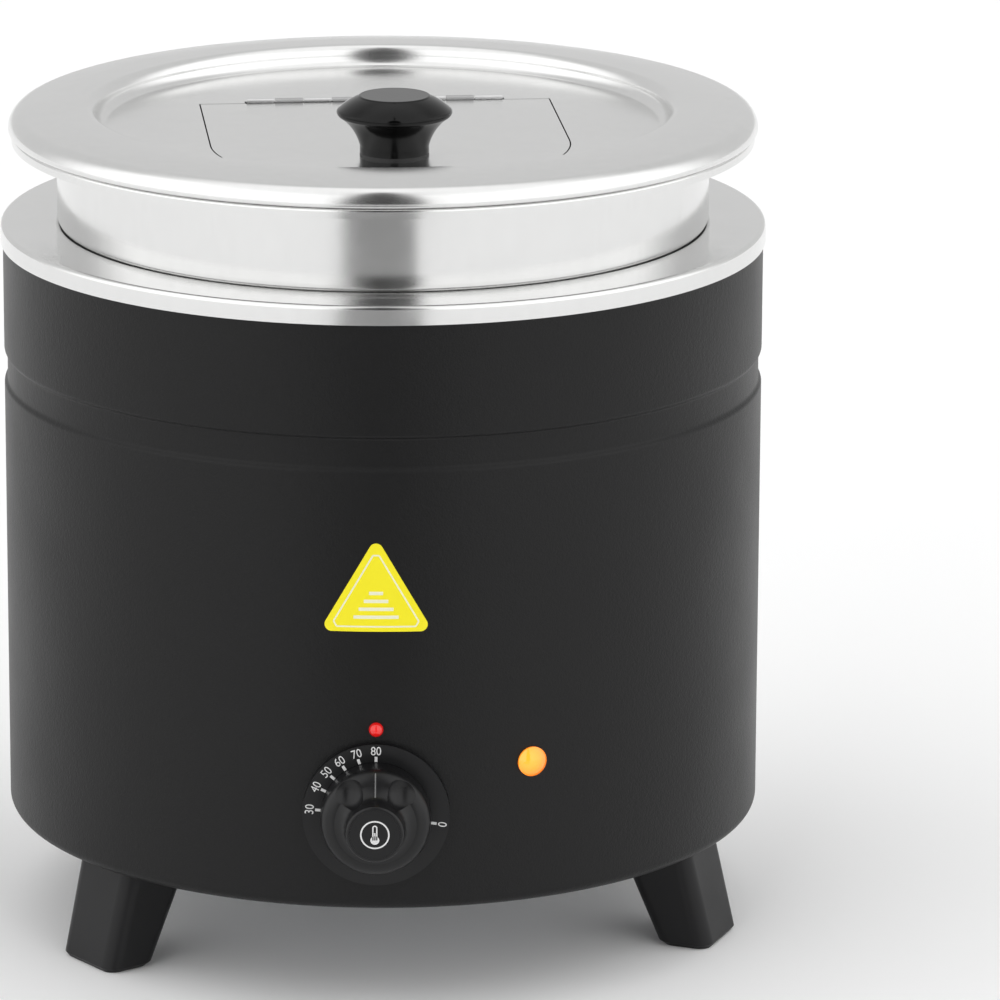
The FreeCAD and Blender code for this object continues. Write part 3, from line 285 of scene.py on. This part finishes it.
def powder_coat():
    """Black powder coat: an orange-peel grain with a fine sparkle of high spots."""
    material, tree, shader = new_material("powder coat", (0.012, 0.012, 0.013), 0.0, 0.5)
    shader.inputs["Specular IOR Level"].default_value = 0.27
    space = object_space(tree)
    grain = noise(tree, space, 1100, 2.0, rough=0.7)
    peel = noise(tree, space, 420, 3.0)
    wear = noise(tree, space, 14, 4.0)
    spread(tree, wear, 0.38, 0.45, shader.inputs["Roughness"])
    tint(tree, grain, (0.0005, 0.0005, 0.0005), (0.006, 0.006, 0.0065), shader)
    bump(tree, shader, [(grain, 0.16 * MM), (peel, 0.12 * MM)], 0.9)
    return material


def plastic(name, color, roughness, grain=0.02 * MM, scale=1400, light=1.6, specular=0.5):
    """Moulded plastic with a light spark-eroded grain."""
    material, tree, shader = new_material(name, color, 0.0, roughness)
    shader.inputs["Specular IOR Level"].default_value = specular
    space = object_space(tree)
    fine = noise(tree, space, scale, 2.0)
    cloud = noise(tree, space, 40, 3.0)
    spread(tree, cloud, roughness - 0.04, roughness + 0.04, shader.inputs["Roughness"])
    tint(tree, fine, color, tuple(min(1, c * light) for c in color), shader)
    bump(tree, shader, [(fine, grain)], 0.6)
    return material


def lens(name, color, glow, strength):
    """A lit lamp lens: its middle glows, its rim is deeper in colour."""
    material, tree, shader = new_material(name, color, 0.0, 0.12)
    facing = add_node(tree, "ShaderNodeLayerWeight", Blend=0.6)
    mix = add_node(tree, "ShaderNodeMix", data_type="RGBA")
    colors = [socket for socket in mix.inputs if socket.type == "RGBA"]
    colors[0].default_value = (*glow, 1)
    colors[1].default_value = (*color, 1)
    tree.links.new(facing.outputs["Facing"], mix.inputs["Factor"])
    result = [socket for socket in mix.outputs if socket.type == "RGBA"][0]
    tree.links.new(result, shader.inputs["Emission Color"])
    shader.inputs["Emission Strength"].default_value = strength
    shader.inputs["Coat Weight"].default_value = 0.6
    return material


def ink(name, color, roughness=0.5):
    """Printed ink with a slightly broken edge of tone."""
    material, tree, shader = new_material(name, color, 0.0, roughness)
    fine = noise(tree, object_space(tree), 2500, 3.0)
    tint(tree, fine, tuple(c * 0.85 for c in color), color, shader)
    return material


RIM_STEEL = steel("rim steel", roughness=0.17)
POT_STEEL = steel("pot steel", roughness=0.18)
LID_STEEL = steel("lid steel", roughness=0.19)
HINGE_STEEL = steel("hinge steel", (0.72, 0.72, 0.72), 0.24, "lines")
# A darker copy of the hinge steel for the moving leaf: its colour is painted shade.
SHADED_HINGE_STEEL = steel("hinge steel with painted shade", (0.46, 0.46, 0.46), 0.34, "lines")
ZINC = steel("zinc plate", (0.55, 0.56, 0.58), 0.35, "lines")
DARK_STEEL = steel("heated steel", (0.2, 0.19, 0.18), 0.4, "lines")
ALUMINIUM = steel("cast aluminium", (0.62, 0.62, 0.63), 0.42, "lines", 0.02 * MM)
COPPER = steel("copper", (0.75, 0.42, 0.28), 0.3, "lines")
BRASS = steel("brass", (0.72, 0.56, 0.26), 0.3, "lines")
COAT = powder_coat()
LEG_BLACK = plastic("leg plastic", (0.003, 0.003, 0.0035), 0.42, 0.05 * MM, specular=0.3)
DIAL_BLACK = plastic("dial plastic", (0.004, 0.004, 0.0045), 0.34, 0.008 * MM, specular=0.35)
BAKELITE = plastic("bakelite", (0.002, 0.002, 0.002), 0.08, 0.003 * MM, 500, specular=0.22)
NYLON = plastic("nylon", (0.014, 0.014, 0.014), 0.5)
IVORY = plastic("ivory plastic", (0.72, 0.68, 0.58), 0.45)
YELLOW = plastic("yellow vinyl", (0.86, 0.76, 0.002), 0.35, 0.002 * MM, 900, 1.04)
CREAM = ink("cream ink", (0.86, 0.86, 0.62))
WHITE = ink("white ink", (0.75, 0.75, 0.75))
GREY = ink("grey ink", (0.16, 0.16, 0.16))
AMBER = lens("amber lens", (0.72, 0.10, 0.002), (1.0, 0.62, 0.05), 0.85)
RED = lens("red lens", (0.35, 0.002, 0.002), (0.9, 0.02, 0.015), 0.6)

NODE_MATERIALS = {
    "hinge_stainless": HINGE_STEEL, "plain_steel": ZINC, "galvanised_steel": ZINC,
    "cast_aluminium": ALUMINIUM, "element_steel": DARK_STEEL, "copper_tube": COPPER,
    "ivory_plastic": IVORY, "leg_plastic": LEG_BLACK, "dial_plastic": DIAL_BLACK,
    "knob_bakelite": BAKELITE, "black_nylon": NYLON, "amber_lens": AMBER, "red_lens": RED,
    "yellow_vinyl": YELLOW, "black_powder_coat": COAT, "rim_stainless": RIM_STEEL,
    "pot_stainless": POT_STEEL, "lid_stainless": LID_STEEL, "brass_screws": BRASS,
}
for part in frame["record"]["subparts"]:
    cad_mesh = frame["nodes"][part["node"]].data
    cad_mesh.materials.clear()
    cad_mesh.materials.append(NODE_MATERIALS[part["material_slot"]])
# The moving hinge leaf takes the darker copy of the hinge steel, which is painted shade.
frame["nodes"]["hinge_leaf_moving"].data.materials[0] = SHADED_HINGE_STEEL


# ---- casing ------------------------------------------------------------------------------------

BEAD_DROP = 64.5 * MM
BEAD_HEIGHT = 17 * MM
BEAD_DEPTH = 1.4 * MM
BEAD_ROUND = 2.2 * MM
SHELL_WALL = 1 * MM
SHELL_BEND = 5 * MM
SHELL_FLANGE = 104 * MM


def bead(radius):
    """The rolled bead in the casing wall, from its lower to its upper end."""
    low = RING_TOP - BEAD_DROP - BEAD_HEIGHT / 2
    high = low + BEAD_HEIGHT
    half = BEAD_DEPTH / 2
    run = math.sqrt(BEAD_ROUND ** 2 - (BEAD_ROUND - half) ** 2)
    return [(radius, low), (radius - half, low + run, BEAD_ROUND, 1),
            (radius - BEAD_DEPTH, low + 2 * run, BEAD_ROUND, -1),
            (radius - BEAD_DEPTH, high - 2 * run),
            (radius - half, high - run, BEAD_ROUND, -1), (radius, high, BEAD_ROUND, 1)]


def casing():
    inner = SHELL_RADIUS - SHELL_WALL
    flat = SHELL_RADIUS - SHELL_BEND
    section = [(SHELL_FLANGE, SHELL_LOW), (flat, SHELL_LOW),
               (SHELL_RADIUS, SHELL_LOW + SHELL_BEND, SHELL_BEND, 1)]
    section += bead(SHELL_RADIUS)
    section += [(SHELL_RADIUS, SHELL_TOP), (inner, SHELL_TOP)]
    section += reverse_path(bead(inner))
    section += [(inner, SHELL_LOW + SHELL_BEND),
                (flat, SHELL_LOW + SHELL_WALL, SHELL_BEND - SHELL_WALL, -1),
                (SHELL_FLANGE, SHELL_LOW + SHELL_WALL)]
    return give(lathe("casing", section), COAT, "kettle", "black_powder_coat", "outer_shell")


def well():
    wall = 0.8 * MM
    skirt_inner, edge = RING_RADIUS - wall, 2 * MM
    inner, roll = 141.5 * MM, 3.5 * MM
    outer, corner = inner + wall, 18 * MM
    foot, floor = RING_TOP - 8.4 * MM, WELL_LOW + wall
    section = [
        (RING_RADIUS, foot), (RING_RADIUS, RING_TOP - edge), (RING_RADIUS - edge, RING_TOP, edge, 1),
        (inner + roll, RING_TOP), (inner, RING_TOP - roll, roll, 1),
        (inner, floor + corner), (inner - corner, floor, corner, -1), (0, floor), (0, WELL_LOW),
        (inner - corner, WELL_LOW), (outer, floor + corner, corner + wall, 1),
        (outer, RING_TOP - roll), (inner + roll, RING_TOP - wall, roll - wall, -1),
        (RING_RADIUS - edge, RING_TOP - wall), (skirt_inner, RING_TOP - edge, edge - wall, -1),
        (skirt_inner, foot),
    ]
    return give(lathe("well_and_rim", section), RIM_STEEL, "kettle", "rim_stainless", "water_well")


# ---- pot ---------------------------------------------------------------------------------------

def shoulder(offset):
    """The pot's shoulder from the neck down, on a surface that lies inside the outer one."""
    neck, lower = 143.8 * MM - offset, 138.3 * MM - offset
    top, rise = POT_TOP - 37.3 * MM, 5 * MM
    step = (neck - lower) / 2
    bend = (rise * rise + step * step) / (2 * step)
    return [(neck, top), (neck - step, top - rise, bend, -1), (lower, top - 2 * rise, bend, 1)]


def pot():
    wall, rim, edge, mouth_round, corner = 0.8 * MM, 163.6 * MM, 1.5 * MM, 3 * MM, 22 * MM
    foot, bend = POT_TOP - 4.2 * MM, POT_TOP - edge
    neck, bottom = 143.8 * MM, 137.2 * MM
    mouth, mouth_bend = neck - wall + mouth_round, POT_TOP - mouth_round
    flat = bottom - wall - corner
    section = [(rim, foot), (rim, bend), (rim - edge, POT_TOP, edge, 1), (mouth, POT_TOP),
               (neck - wall, mouth_bend, mouth_round, 1)]
    section += shoulder(wall)
    section += [(bottom - wall, POT_LOW + wall + corner), (flat, POT_LOW + wall, corner, -1),
                (0, POT_LOW + wall), (0, POT_LOW), (flat, POT_LOW),
                (bottom, POT_LOW + wall + corner, corner + wall, 1)]
    section += reverse_path(shoulder(0))
    section += [(neck, mouth_bend), (mouth, POT_TOP - wall, mouth_round - wall, -1),
                (rim - edge, POT_TOP - wall), (rim - wall, bend, edge - wall, -1), (rim - wall, foot)]
    return give(lathe("soup_pot", section), POT_STEEL, "pot", "pot_stainless", "insert_pot")


# ---- lid and flap ------------------------------------------------------------------------------

LID_WALL = 0.8 * MM
PANEL_RADIUS = 121.5 * MM
PANEL_TOP = LID_CROWN - 9 * MM
PANEL_LOW = PANEL_TOP - LID_WALL
FLAP_HALF = 78 * MM
FLAP_ARC_OFFSET = 41 * MM
FLAP_GAP = 0.6 * MM
BARREL_HALF_GAP = 2.2 * MM
HINGE_LENGTH = 115 * MM


def flap_outline(grow, rear):
    half, centre = FLAP_HALF + grow, -FLAP_ARC_OFFSET
    return [(-half, rear), (-half, centre), (0, centre - half, half, 1), (half, centre, half, 1),
            (half, rear)]


def opening_outline():
    """The opening in the lid's panel: the flap's outline with a notch for the hinge barrel."""
    rear = HINGE_OFFSET - BARREL_HALF_GAP + FLAP_GAP
    notch, deep = HINGE_LENGTH / 2 + FLAP_GAP, HINGE_OFFSET + BARREL_HALF_GAP
    return flap_outline(FLAP_GAP, rear) + [(notch, rear), (notch, deep), (-notch, deep), (-notch, rear)]


def loop(bm, points, z):
    verts = [bm.verts.new((point.x, point.y, z)) for point in points]
    edges = [bm.edges.new((verts[k - 1], verts[k])) for k in range(len(verts))]
    return verts, edges


def wall_between(bm, low, high):
    for k in range(len(low)):
        bm.faces.new((low[k - 1], low[k], high[k], high[k - 1]))


def lid():
    """The lid's domed rim and recess, spun, and its flat panel with the opening for the flap."""
    curl, wide, edge, dome = 1.2 * MM, 165 * MM, 7.3 * MM, 206.4 * MM
    crown, bend = 131 * MM, LID_FOOT + 1.2 * MM
    lip, slope = 4 * MM, math.radians(82.5)
    half_run, half_drop = (crown - PANEL_RADIUS) / 2, (LID_CROWN - PANEL_TOP) / 2
    wave = (half_run ** 2 + half_drop ** 2) / (2 * half_drop)
    middle, step = PANEL_RADIUS + half_run, LID_CROWN - half_drop
    section = [
        (PANEL_RADIUS, PANEL_LOW), (middle + LID_WALL, step, wave + LID_WALL, 1),
        (crown, LID_CROWN - LID_WALL, wave - LID_WALL, -1),
        (wide - edge + (edge - LID_WALL) * math.cos(slope), bend + (edge - LID_WALL) * math.sin(slope),
         dome - LID_WALL, -1),
        (wide - LID_WALL, bend, edge - LID_WALL, -1),
        (wide - curl, LID_FOOT + LID_WALL, curl - LID_WALL, -1),
        (wide - lip, LID_FOOT + LID_WALL), (wide - lip, LID_FOOT), (wide - curl, LID_FOOT),
        (wide, bend, curl, 1),
        (wide - edge + edge * math.cos(slope), bend + edge * math.sin(slope), edge, 1),
        (crown, LID_CROWN, dome, 1), (middle, step, wave, 1), (PANEL_RADIUS, PANEL_TOP, wave, -1),
    ]
    bm = bmesh.new()
    spin(bm, trace(section, closed=False), LATHE_SEGMENTS, closed=False)
    circle = [Vector((PANEL_RADIUS * math.sin(2 * math.pi * k / LATHE_SEGMENTS),
                      -PANEL_RADIUS * math.cos(2 * math.pi * k / LATHE_SEGMENTS)))
              for k in range(LATHE_SEGMENTS)]
    hole = trace(opening_outline(), step=math.radians(3))
    rims = []
    for height in (PANEL_LOW, PANEL_TOP):
        _, outer_edges = loop(bm, circle, height)
        verts, inner_edges = loop(bm, hole, height)
        bmesh.ops.triangle_fill(bm, edges=outer_edges + inner_edges, use_beauty=True)
        rims.append(verts)
    wall_between(bm, *rims)
    thing = finish_mesh("lid_pressing", bm)
    thing.data.transform(Matrix.Rotation(LID_TURN, 4, "Z"))
    return give(thing, LID_STEEL, "lid", "lid_stainless", "lid_panel")


# ---- printed marks ------------------------------------------------------------------------------

PRINT_LIFT = 0.04 * MM
SCALE_STOPS = {"80": 0, "70": -17, "60": -33, "50": -48, "40": -64, "30": -85, "0": 98}
NUMERAL_HEIGHT = 3.7 * MM
NUMERAL_RADIUS = 28.4 * MM
TICK_START, TICK_END, TICK_WIDTH = 23.8 * MM, 26.1 * MM, 1.2 * MM
NUMERAL_NARROWING = 0.86
CAP_FRONT = -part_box("dial_cap")[0].y
KNOB_BACK = CAP_FRONT - 27 * MM
LINE_START, LINE_END, LINE_WIDTH = 13.4 * MM, 22.6 * MM, 0.56 * MM
ICON_LIFT = 0.02 * MM
CAPITAL_SHARE = 0.69


def onto_dial(front, angle=0.0):
    """From drawing space (x right, y up, z out) to the dial's face, turned clockwise by an angle."""
    return (Matrix.Translation((DIAL.x, -front, DIAL.z)) @ Matrix.Rotation(math.radians(angle), 4, "Y")
            @ Matrix.Rotation(math.radians(90), 4, "X"))


def quad(bm, left, low, right, high):
    corners = [(left, low), (right, low), (right, high), (left, high)]
    bm.faces.new([bm.verts.new((x, y, 0)) for x, y in corners])


def lettering(bm, words, tall, x, y):
    """Adds the filled outlines of some characters, centred on a place."""
    curve = bpy.data.curves.new("letters", "FONT")
    curve.body = words
    curve.size = tall / CAPITAL_SHARE
    curve.align_x, curve.align_y = "CENTER", "CENTER"
    holder = bpy.data.objects.new("letters", curve)
    made = bpy.data.meshes.new_from_object(holder)
    made.transform(Matrix.Translation((x, y, 0)) @ Matrix.Scale(NUMERAL_NARROWING, 4, (1, 0, 0)))
    bm.from_mesh(made)
    bpy.data.objects.remove(holder)
    bpy.data.meshes.remove(made)


def ring(bm, inner, outer, x=0.0, y=0.0, segments=96):
    for k in range(segments):
        a, b = 2 * math.pi * k / segments, 2 * math.pi * (k + 1) / segments
        bm.faces.new([bm.verts.new((x + r * math.cos(t), y + r * math.sin(t), 0))
                      for r, t in ((inner, a), (outer, a), (outer, b), (inner, b))])


def disc(bm, radius, x, y, segments=48):
    bm.faces.new([bm.verts.new((x + radius * math.cos(2 * math.pi * k / segments),
                                y + radius * math.sin(2 * math.pi * k / segments), 0))
                  for k in range(segments)])


def dial_scale():
    """Numerals with a tick under each, their tops turned outwards."""
    whole = bmesh.new()
    for words, angle in SCALE_STOPS.items():
        bm = bmesh.new()
        lettering(bm, words, NUMERAL_HEIGHT, 0, NUMERAL_RADIUS)
        quad(bm, -TICK_WIDTH / 2, TICK_START, TICK_WIDTH / 2, TICK_END)
        bm.transform(onto_dial(PLATE_FRONT + PRINT_LIFT, angle))
        stamp = bpy.data.meshes.new("stamp")
        bm.to_mesh(stamp)
        bm.free()
        whole.from_mesh(stamp)
        bpy.data.meshes.remove(stamp)
    return give(finish_mesh("dial_scale", whole), WHITE, "kettle", "dial_plastic")


def thermometer():
    """The outline of a thermometer in a ring, printed on the knob's cap."""
    bm = bmesh.new()
    line = 0.55 * MM
    ring(bm, 5.6 * MM, 6.25 * MM)
    stem, bulb, foot, top = 1.1 * MM, 1.9 * MM, -2.4 * MM, 4.2 * MM
    disc(bm, bulb, 0, foot)
    quad(bm, -stem, foot, line - stem, top - stem)
    quad(bm, stem - line, foot, stem, top - stem)
    quad(bm, -LINE_WIDTH / 2, foot, LINE_WIDTH / 2, 0.9 * MM)
    for k in range(16):
        a, b = math.pi * k / 16, math.pi * (k + 1) / 16
        bm.faces.new([bm.verts.new((r * math.cos(t), top - stem + r * math.sin(t), 0))
                      for r, t in ((stem - line, a), (stem, a), (stem, b), (stem - line, b))])
    bm.transform(onto_dial(CAP_FRONT + ICON_LIFT))
    return give(finish_mesh("dial_icon", bm), WHITE, "dial", "dial_plastic")


def pointer():
    """A thin line down the knob's nose, lying on its shoulder."""
    wall, bend, foot = 8 * MM, 6 * MM, 21 * MM
    outer, boss = 23.5 * MM, 12.4 * MM
    shoulder, rise = outer - bend, foot - wall - bend
    run = shoulder - boss
    neck_round = (run * run + rise * rise) / (2 * run)
    path = trace([(outer, wall), (shoulder, wall + bend, bend, 1), (boss, foot, neck_round, -1)],
                 closed=False, step=math.radians(4))
    path = [point for point in path if LINE_START < point.x < LINE_END]
    bm = bmesh.new()
    half = LINE_WIDTH / 2
    rows = []
    for point in path:
        high = point + Vector((0.6, 0.8)) * PRINT_LIFT
        rows.append([bm.verts.new((side, high.x, high.y)) for side in (-half, half)])
    for low, up in zip(rows, rows[1:]):
        bm.faces.new((low[0], low[1], up[1], up[0]))
    bm.transform(onto_dial(KNOB_BACK))
    return give(finish_mesh("dial_pointer", bm), GREY, "dial", "dial_plastic")


# ---- sticker ------------------------------------------------------------------------------------

STICKER_LOW, STICKER_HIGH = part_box("hot_surface_sticker")
STICKER_LIFT = 0.02 * MM
STICKER_THICKNESS = 0.25 * MM
BAR_WIDTH = 1.5 * MM
BARS = ((6.4, 9.6), (9.9, 7.4), (13.4, 5.2), (16.9, 3.0))


def on_casing(bm, x, z):
    radius = SHELL_RADIUS + STICKER_THICKNESS + STICKER_LIFT
    return bm.verts.new((x, -math.sqrt(radius * radius - x * x), z))


def strip(bm, start, end, width, pieces=14):
    """A straight printed line on the curved casing."""
    along = (end - start).normalized()
    side = Vector((-along.y, along.x)) * width / 2
    rows = []
    for k in range(pieces + 1):
        middle = start.lerp(end, k / pieces)
        rows.append([on_casing(bm, *(middle + side * way)) for way in (-1, 1)])
    for low, up in zip(rows, rows[1:]):
        bm.faces.new((low[0], low[1], up[1], up[0]))


def sticker_print():
    """A pale inset border and a plain stack of bars, in place of the warning pictogram."""
    bm = bmesh.new()
    half, foot, rise, round_off = 19.4 * MM, 2.2 * MM, 33.6 * MM, 2.6 * MM
    low = STICKER_LOW.z + foot
    tips = [Vector((-half, low)), Vector((half, low)), Vector((0, low + rise))]
    line = 0.7 * MM
    for index, tip in enumerate(tips):
        following = tips[(index + 1) % 3]
        along = (following - tip).normalized()
        before = (tips[index - 1] - tip).normalized()
        bend = tip + (along + before) * round_off * 0.5
        strip(bm, tip + along * round_off, following - along * round_off, line)
        strip(bm, tip + before * round_off, bend, line, pieces=2)
        strip(bm, bend, tip + along * round_off, line, pieces=2)
    for height, reach in BARS:
        level = STICKER_LOW.z + height * MM
        strip(bm, Vector((-reach * MM, level)), Vector((reach * MM, level)), BAR_WIDTH)
    return give(finish_mesh("sticker_print", bm), CREAM, "kettle", "yellow_vinyl")


casing()
well()
pot()
lid()
dial_scale()
thermometer()
pointer()
sticker_print()


# ---- camera, light and floor -------------------------------------------------------------------

CAMERA_DISTANCE = 3.009
CAMERA_HEIGHT = 1.0053
CAMERA_PITCH = 15.25
CAMERA_SIDE = 1.0
CAMERA_LENS = 251.2
CAMERA_SHIFT = 0.117

SIDE_LIGHT = 1.46
BACK_LIGHT = 0.72
TOP_LIGHT = 1.2
GAP_LIGHT = 0.05
GAP_EDGE = (math.radians(9.5), math.radians(16))
BACK_EDGE = (math.radians(95), math.radians(130))
TOP_EDGE = (0.75, 0.95)


def camera():
    data = bpy.data.cameras.new("camera")
    data.lens = CAMERA_LENS
    data.sensor_width = 36
    data.shift_x = CAMERA_SHIFT
    data.clip_end = 50
    thing = bpy.data.objects.new("camera", data)
    bpy.context.scene.collection.objects.link(thing)
    side = math.radians(CAMERA_SIDE)
    thing.location = (CAMERA_DISTANCE * math.sin(side), -CAMERA_DISTANCE * math.cos(side), CAMERA_HEIGHT)
    thing.rotation_euler = (math.radians(90 - CAMERA_PITCH), 0, side)
    bpy.context.scene.camera = thing


def floor():
    bm = bmesh.new()
    bmesh.ops.create_grid(bm, x_segments=2, y_segments=2, size=12)
    thing = finish_mesh("floor", bm)
    material, tree, shader = new_material("pale floor", (0.95, 0.95, 0.95), 0.0, 0.6)
    cloud = noise(tree, object_space(tree), 3, 2.0)
    tint(tree, cloud, (0.95, 0.95, 0.95), (0.965, 0.965, 0.965), shader)
    shader.inputs["Specular IOR Level"].default_value = 0.1
    thing.data.materials.append(material)


def dark_card():
    """A grey wedge on the floor towards the camera, which only reflections see."""
    bm = bmesh.new()
    near, far, height = 0.5, 4.0, 0.004
    spread_near, spread_far = 0.13, 0.75
    bm.faces.new([bm.verts.new(corner) for corner in (
        (-spread_near, -near, height), (spread_near, -near, height),
        (spread_far, -far, height), (-spread_far, -far, height))])
    thing = finish_mesh("dark_card", bm)
    material = new_material("grey card", (0.26, 0.26, 0.26), 0.0, 0.9)[0]
    thing.data.materials.append(material)
    thing.visible_camera = False
    thing.visible_diffuse = False
    thing.visible_shadow = False


def smooth_between(tree, value, low, high):
    """0 below low, 1 above high, smooth between."""
    ramp = add_node(tree, "ShaderNodeMapRange", interpolation_type="SMOOTHSTEP")
    ramp.inputs["From Min"].default_value = low
    ramp.inputs["From Max"].default_value = high
    tree.links.new(value, ramp.inputs["Value"])
    return ramp.outputs["Result"]


def maths(tree, operation, *values):
    made = add_node(tree, "ShaderNodeMath", operation=operation)
    for index, value in enumerate(values):
        if isinstance(value, (int, float)):
            made.inputs[index].default_value = value
        else:
            tree.links.new(value, made.inputs[index])
    return made.outputs["Value"]


def world():
    """A studio: bright cloth at both sides, a little dimmer behind, and a dark gap at the camera."""
    made = bpy.data.worlds.new("world")
    made.use_nodes = True
    tree = made.node_tree
    split = add_node(tree, "ShaderNodeSeparateXYZ")
    directions = add_node(tree, "ShaderNodeTexCoord").outputs["Generated"]
    tree.links.new(directions, split.inputs["Vector"])
    bearing = maths(tree, "ARCTAN2", split.outputs["X"], maths(tree, "MULTIPLY", split.outputs["Y"], -1.0))
    away = maths(tree, "ABSOLUTE", maths(tree, "SUBTRACT", bearing, math.radians(CAMERA_SIDE)))
    gap = smooth_between(tree, away, *GAP_EDGE)
    behind = smooth_between(tree, away, *BACK_EDGE)
    overhead = smooth_between(tree, split.outputs["Z"], *TOP_EDGE)
    sides = maths(tree, "SUBTRACT", SIDE_LIGHT, maths(tree, "MULTIPLY", behind, SIDE_LIGHT - BACK_LIGHT))
    cloth = maths(tree, "MULTIPLY_ADD", overhead, maths(tree, "SUBTRACT", TOP_LIGHT, sides), sides)
    level = maths(tree, "MULTIPLY_ADD", gap, maths(tree, "SUBTRACT", cloth, GAP_LIGHT), GAP_LIGHT)
    tree.links.new(level, tree.nodes["Background"].inputs["Strength"])
    tree.nodes["Background"].inputs["Color"].default_value = (1, 1, 1, 1)
    bpy.context.scene.world = made


camera()
floor()
dark_card()
world()
bpy.context.scene.view_settings.view_transform = "Standard"
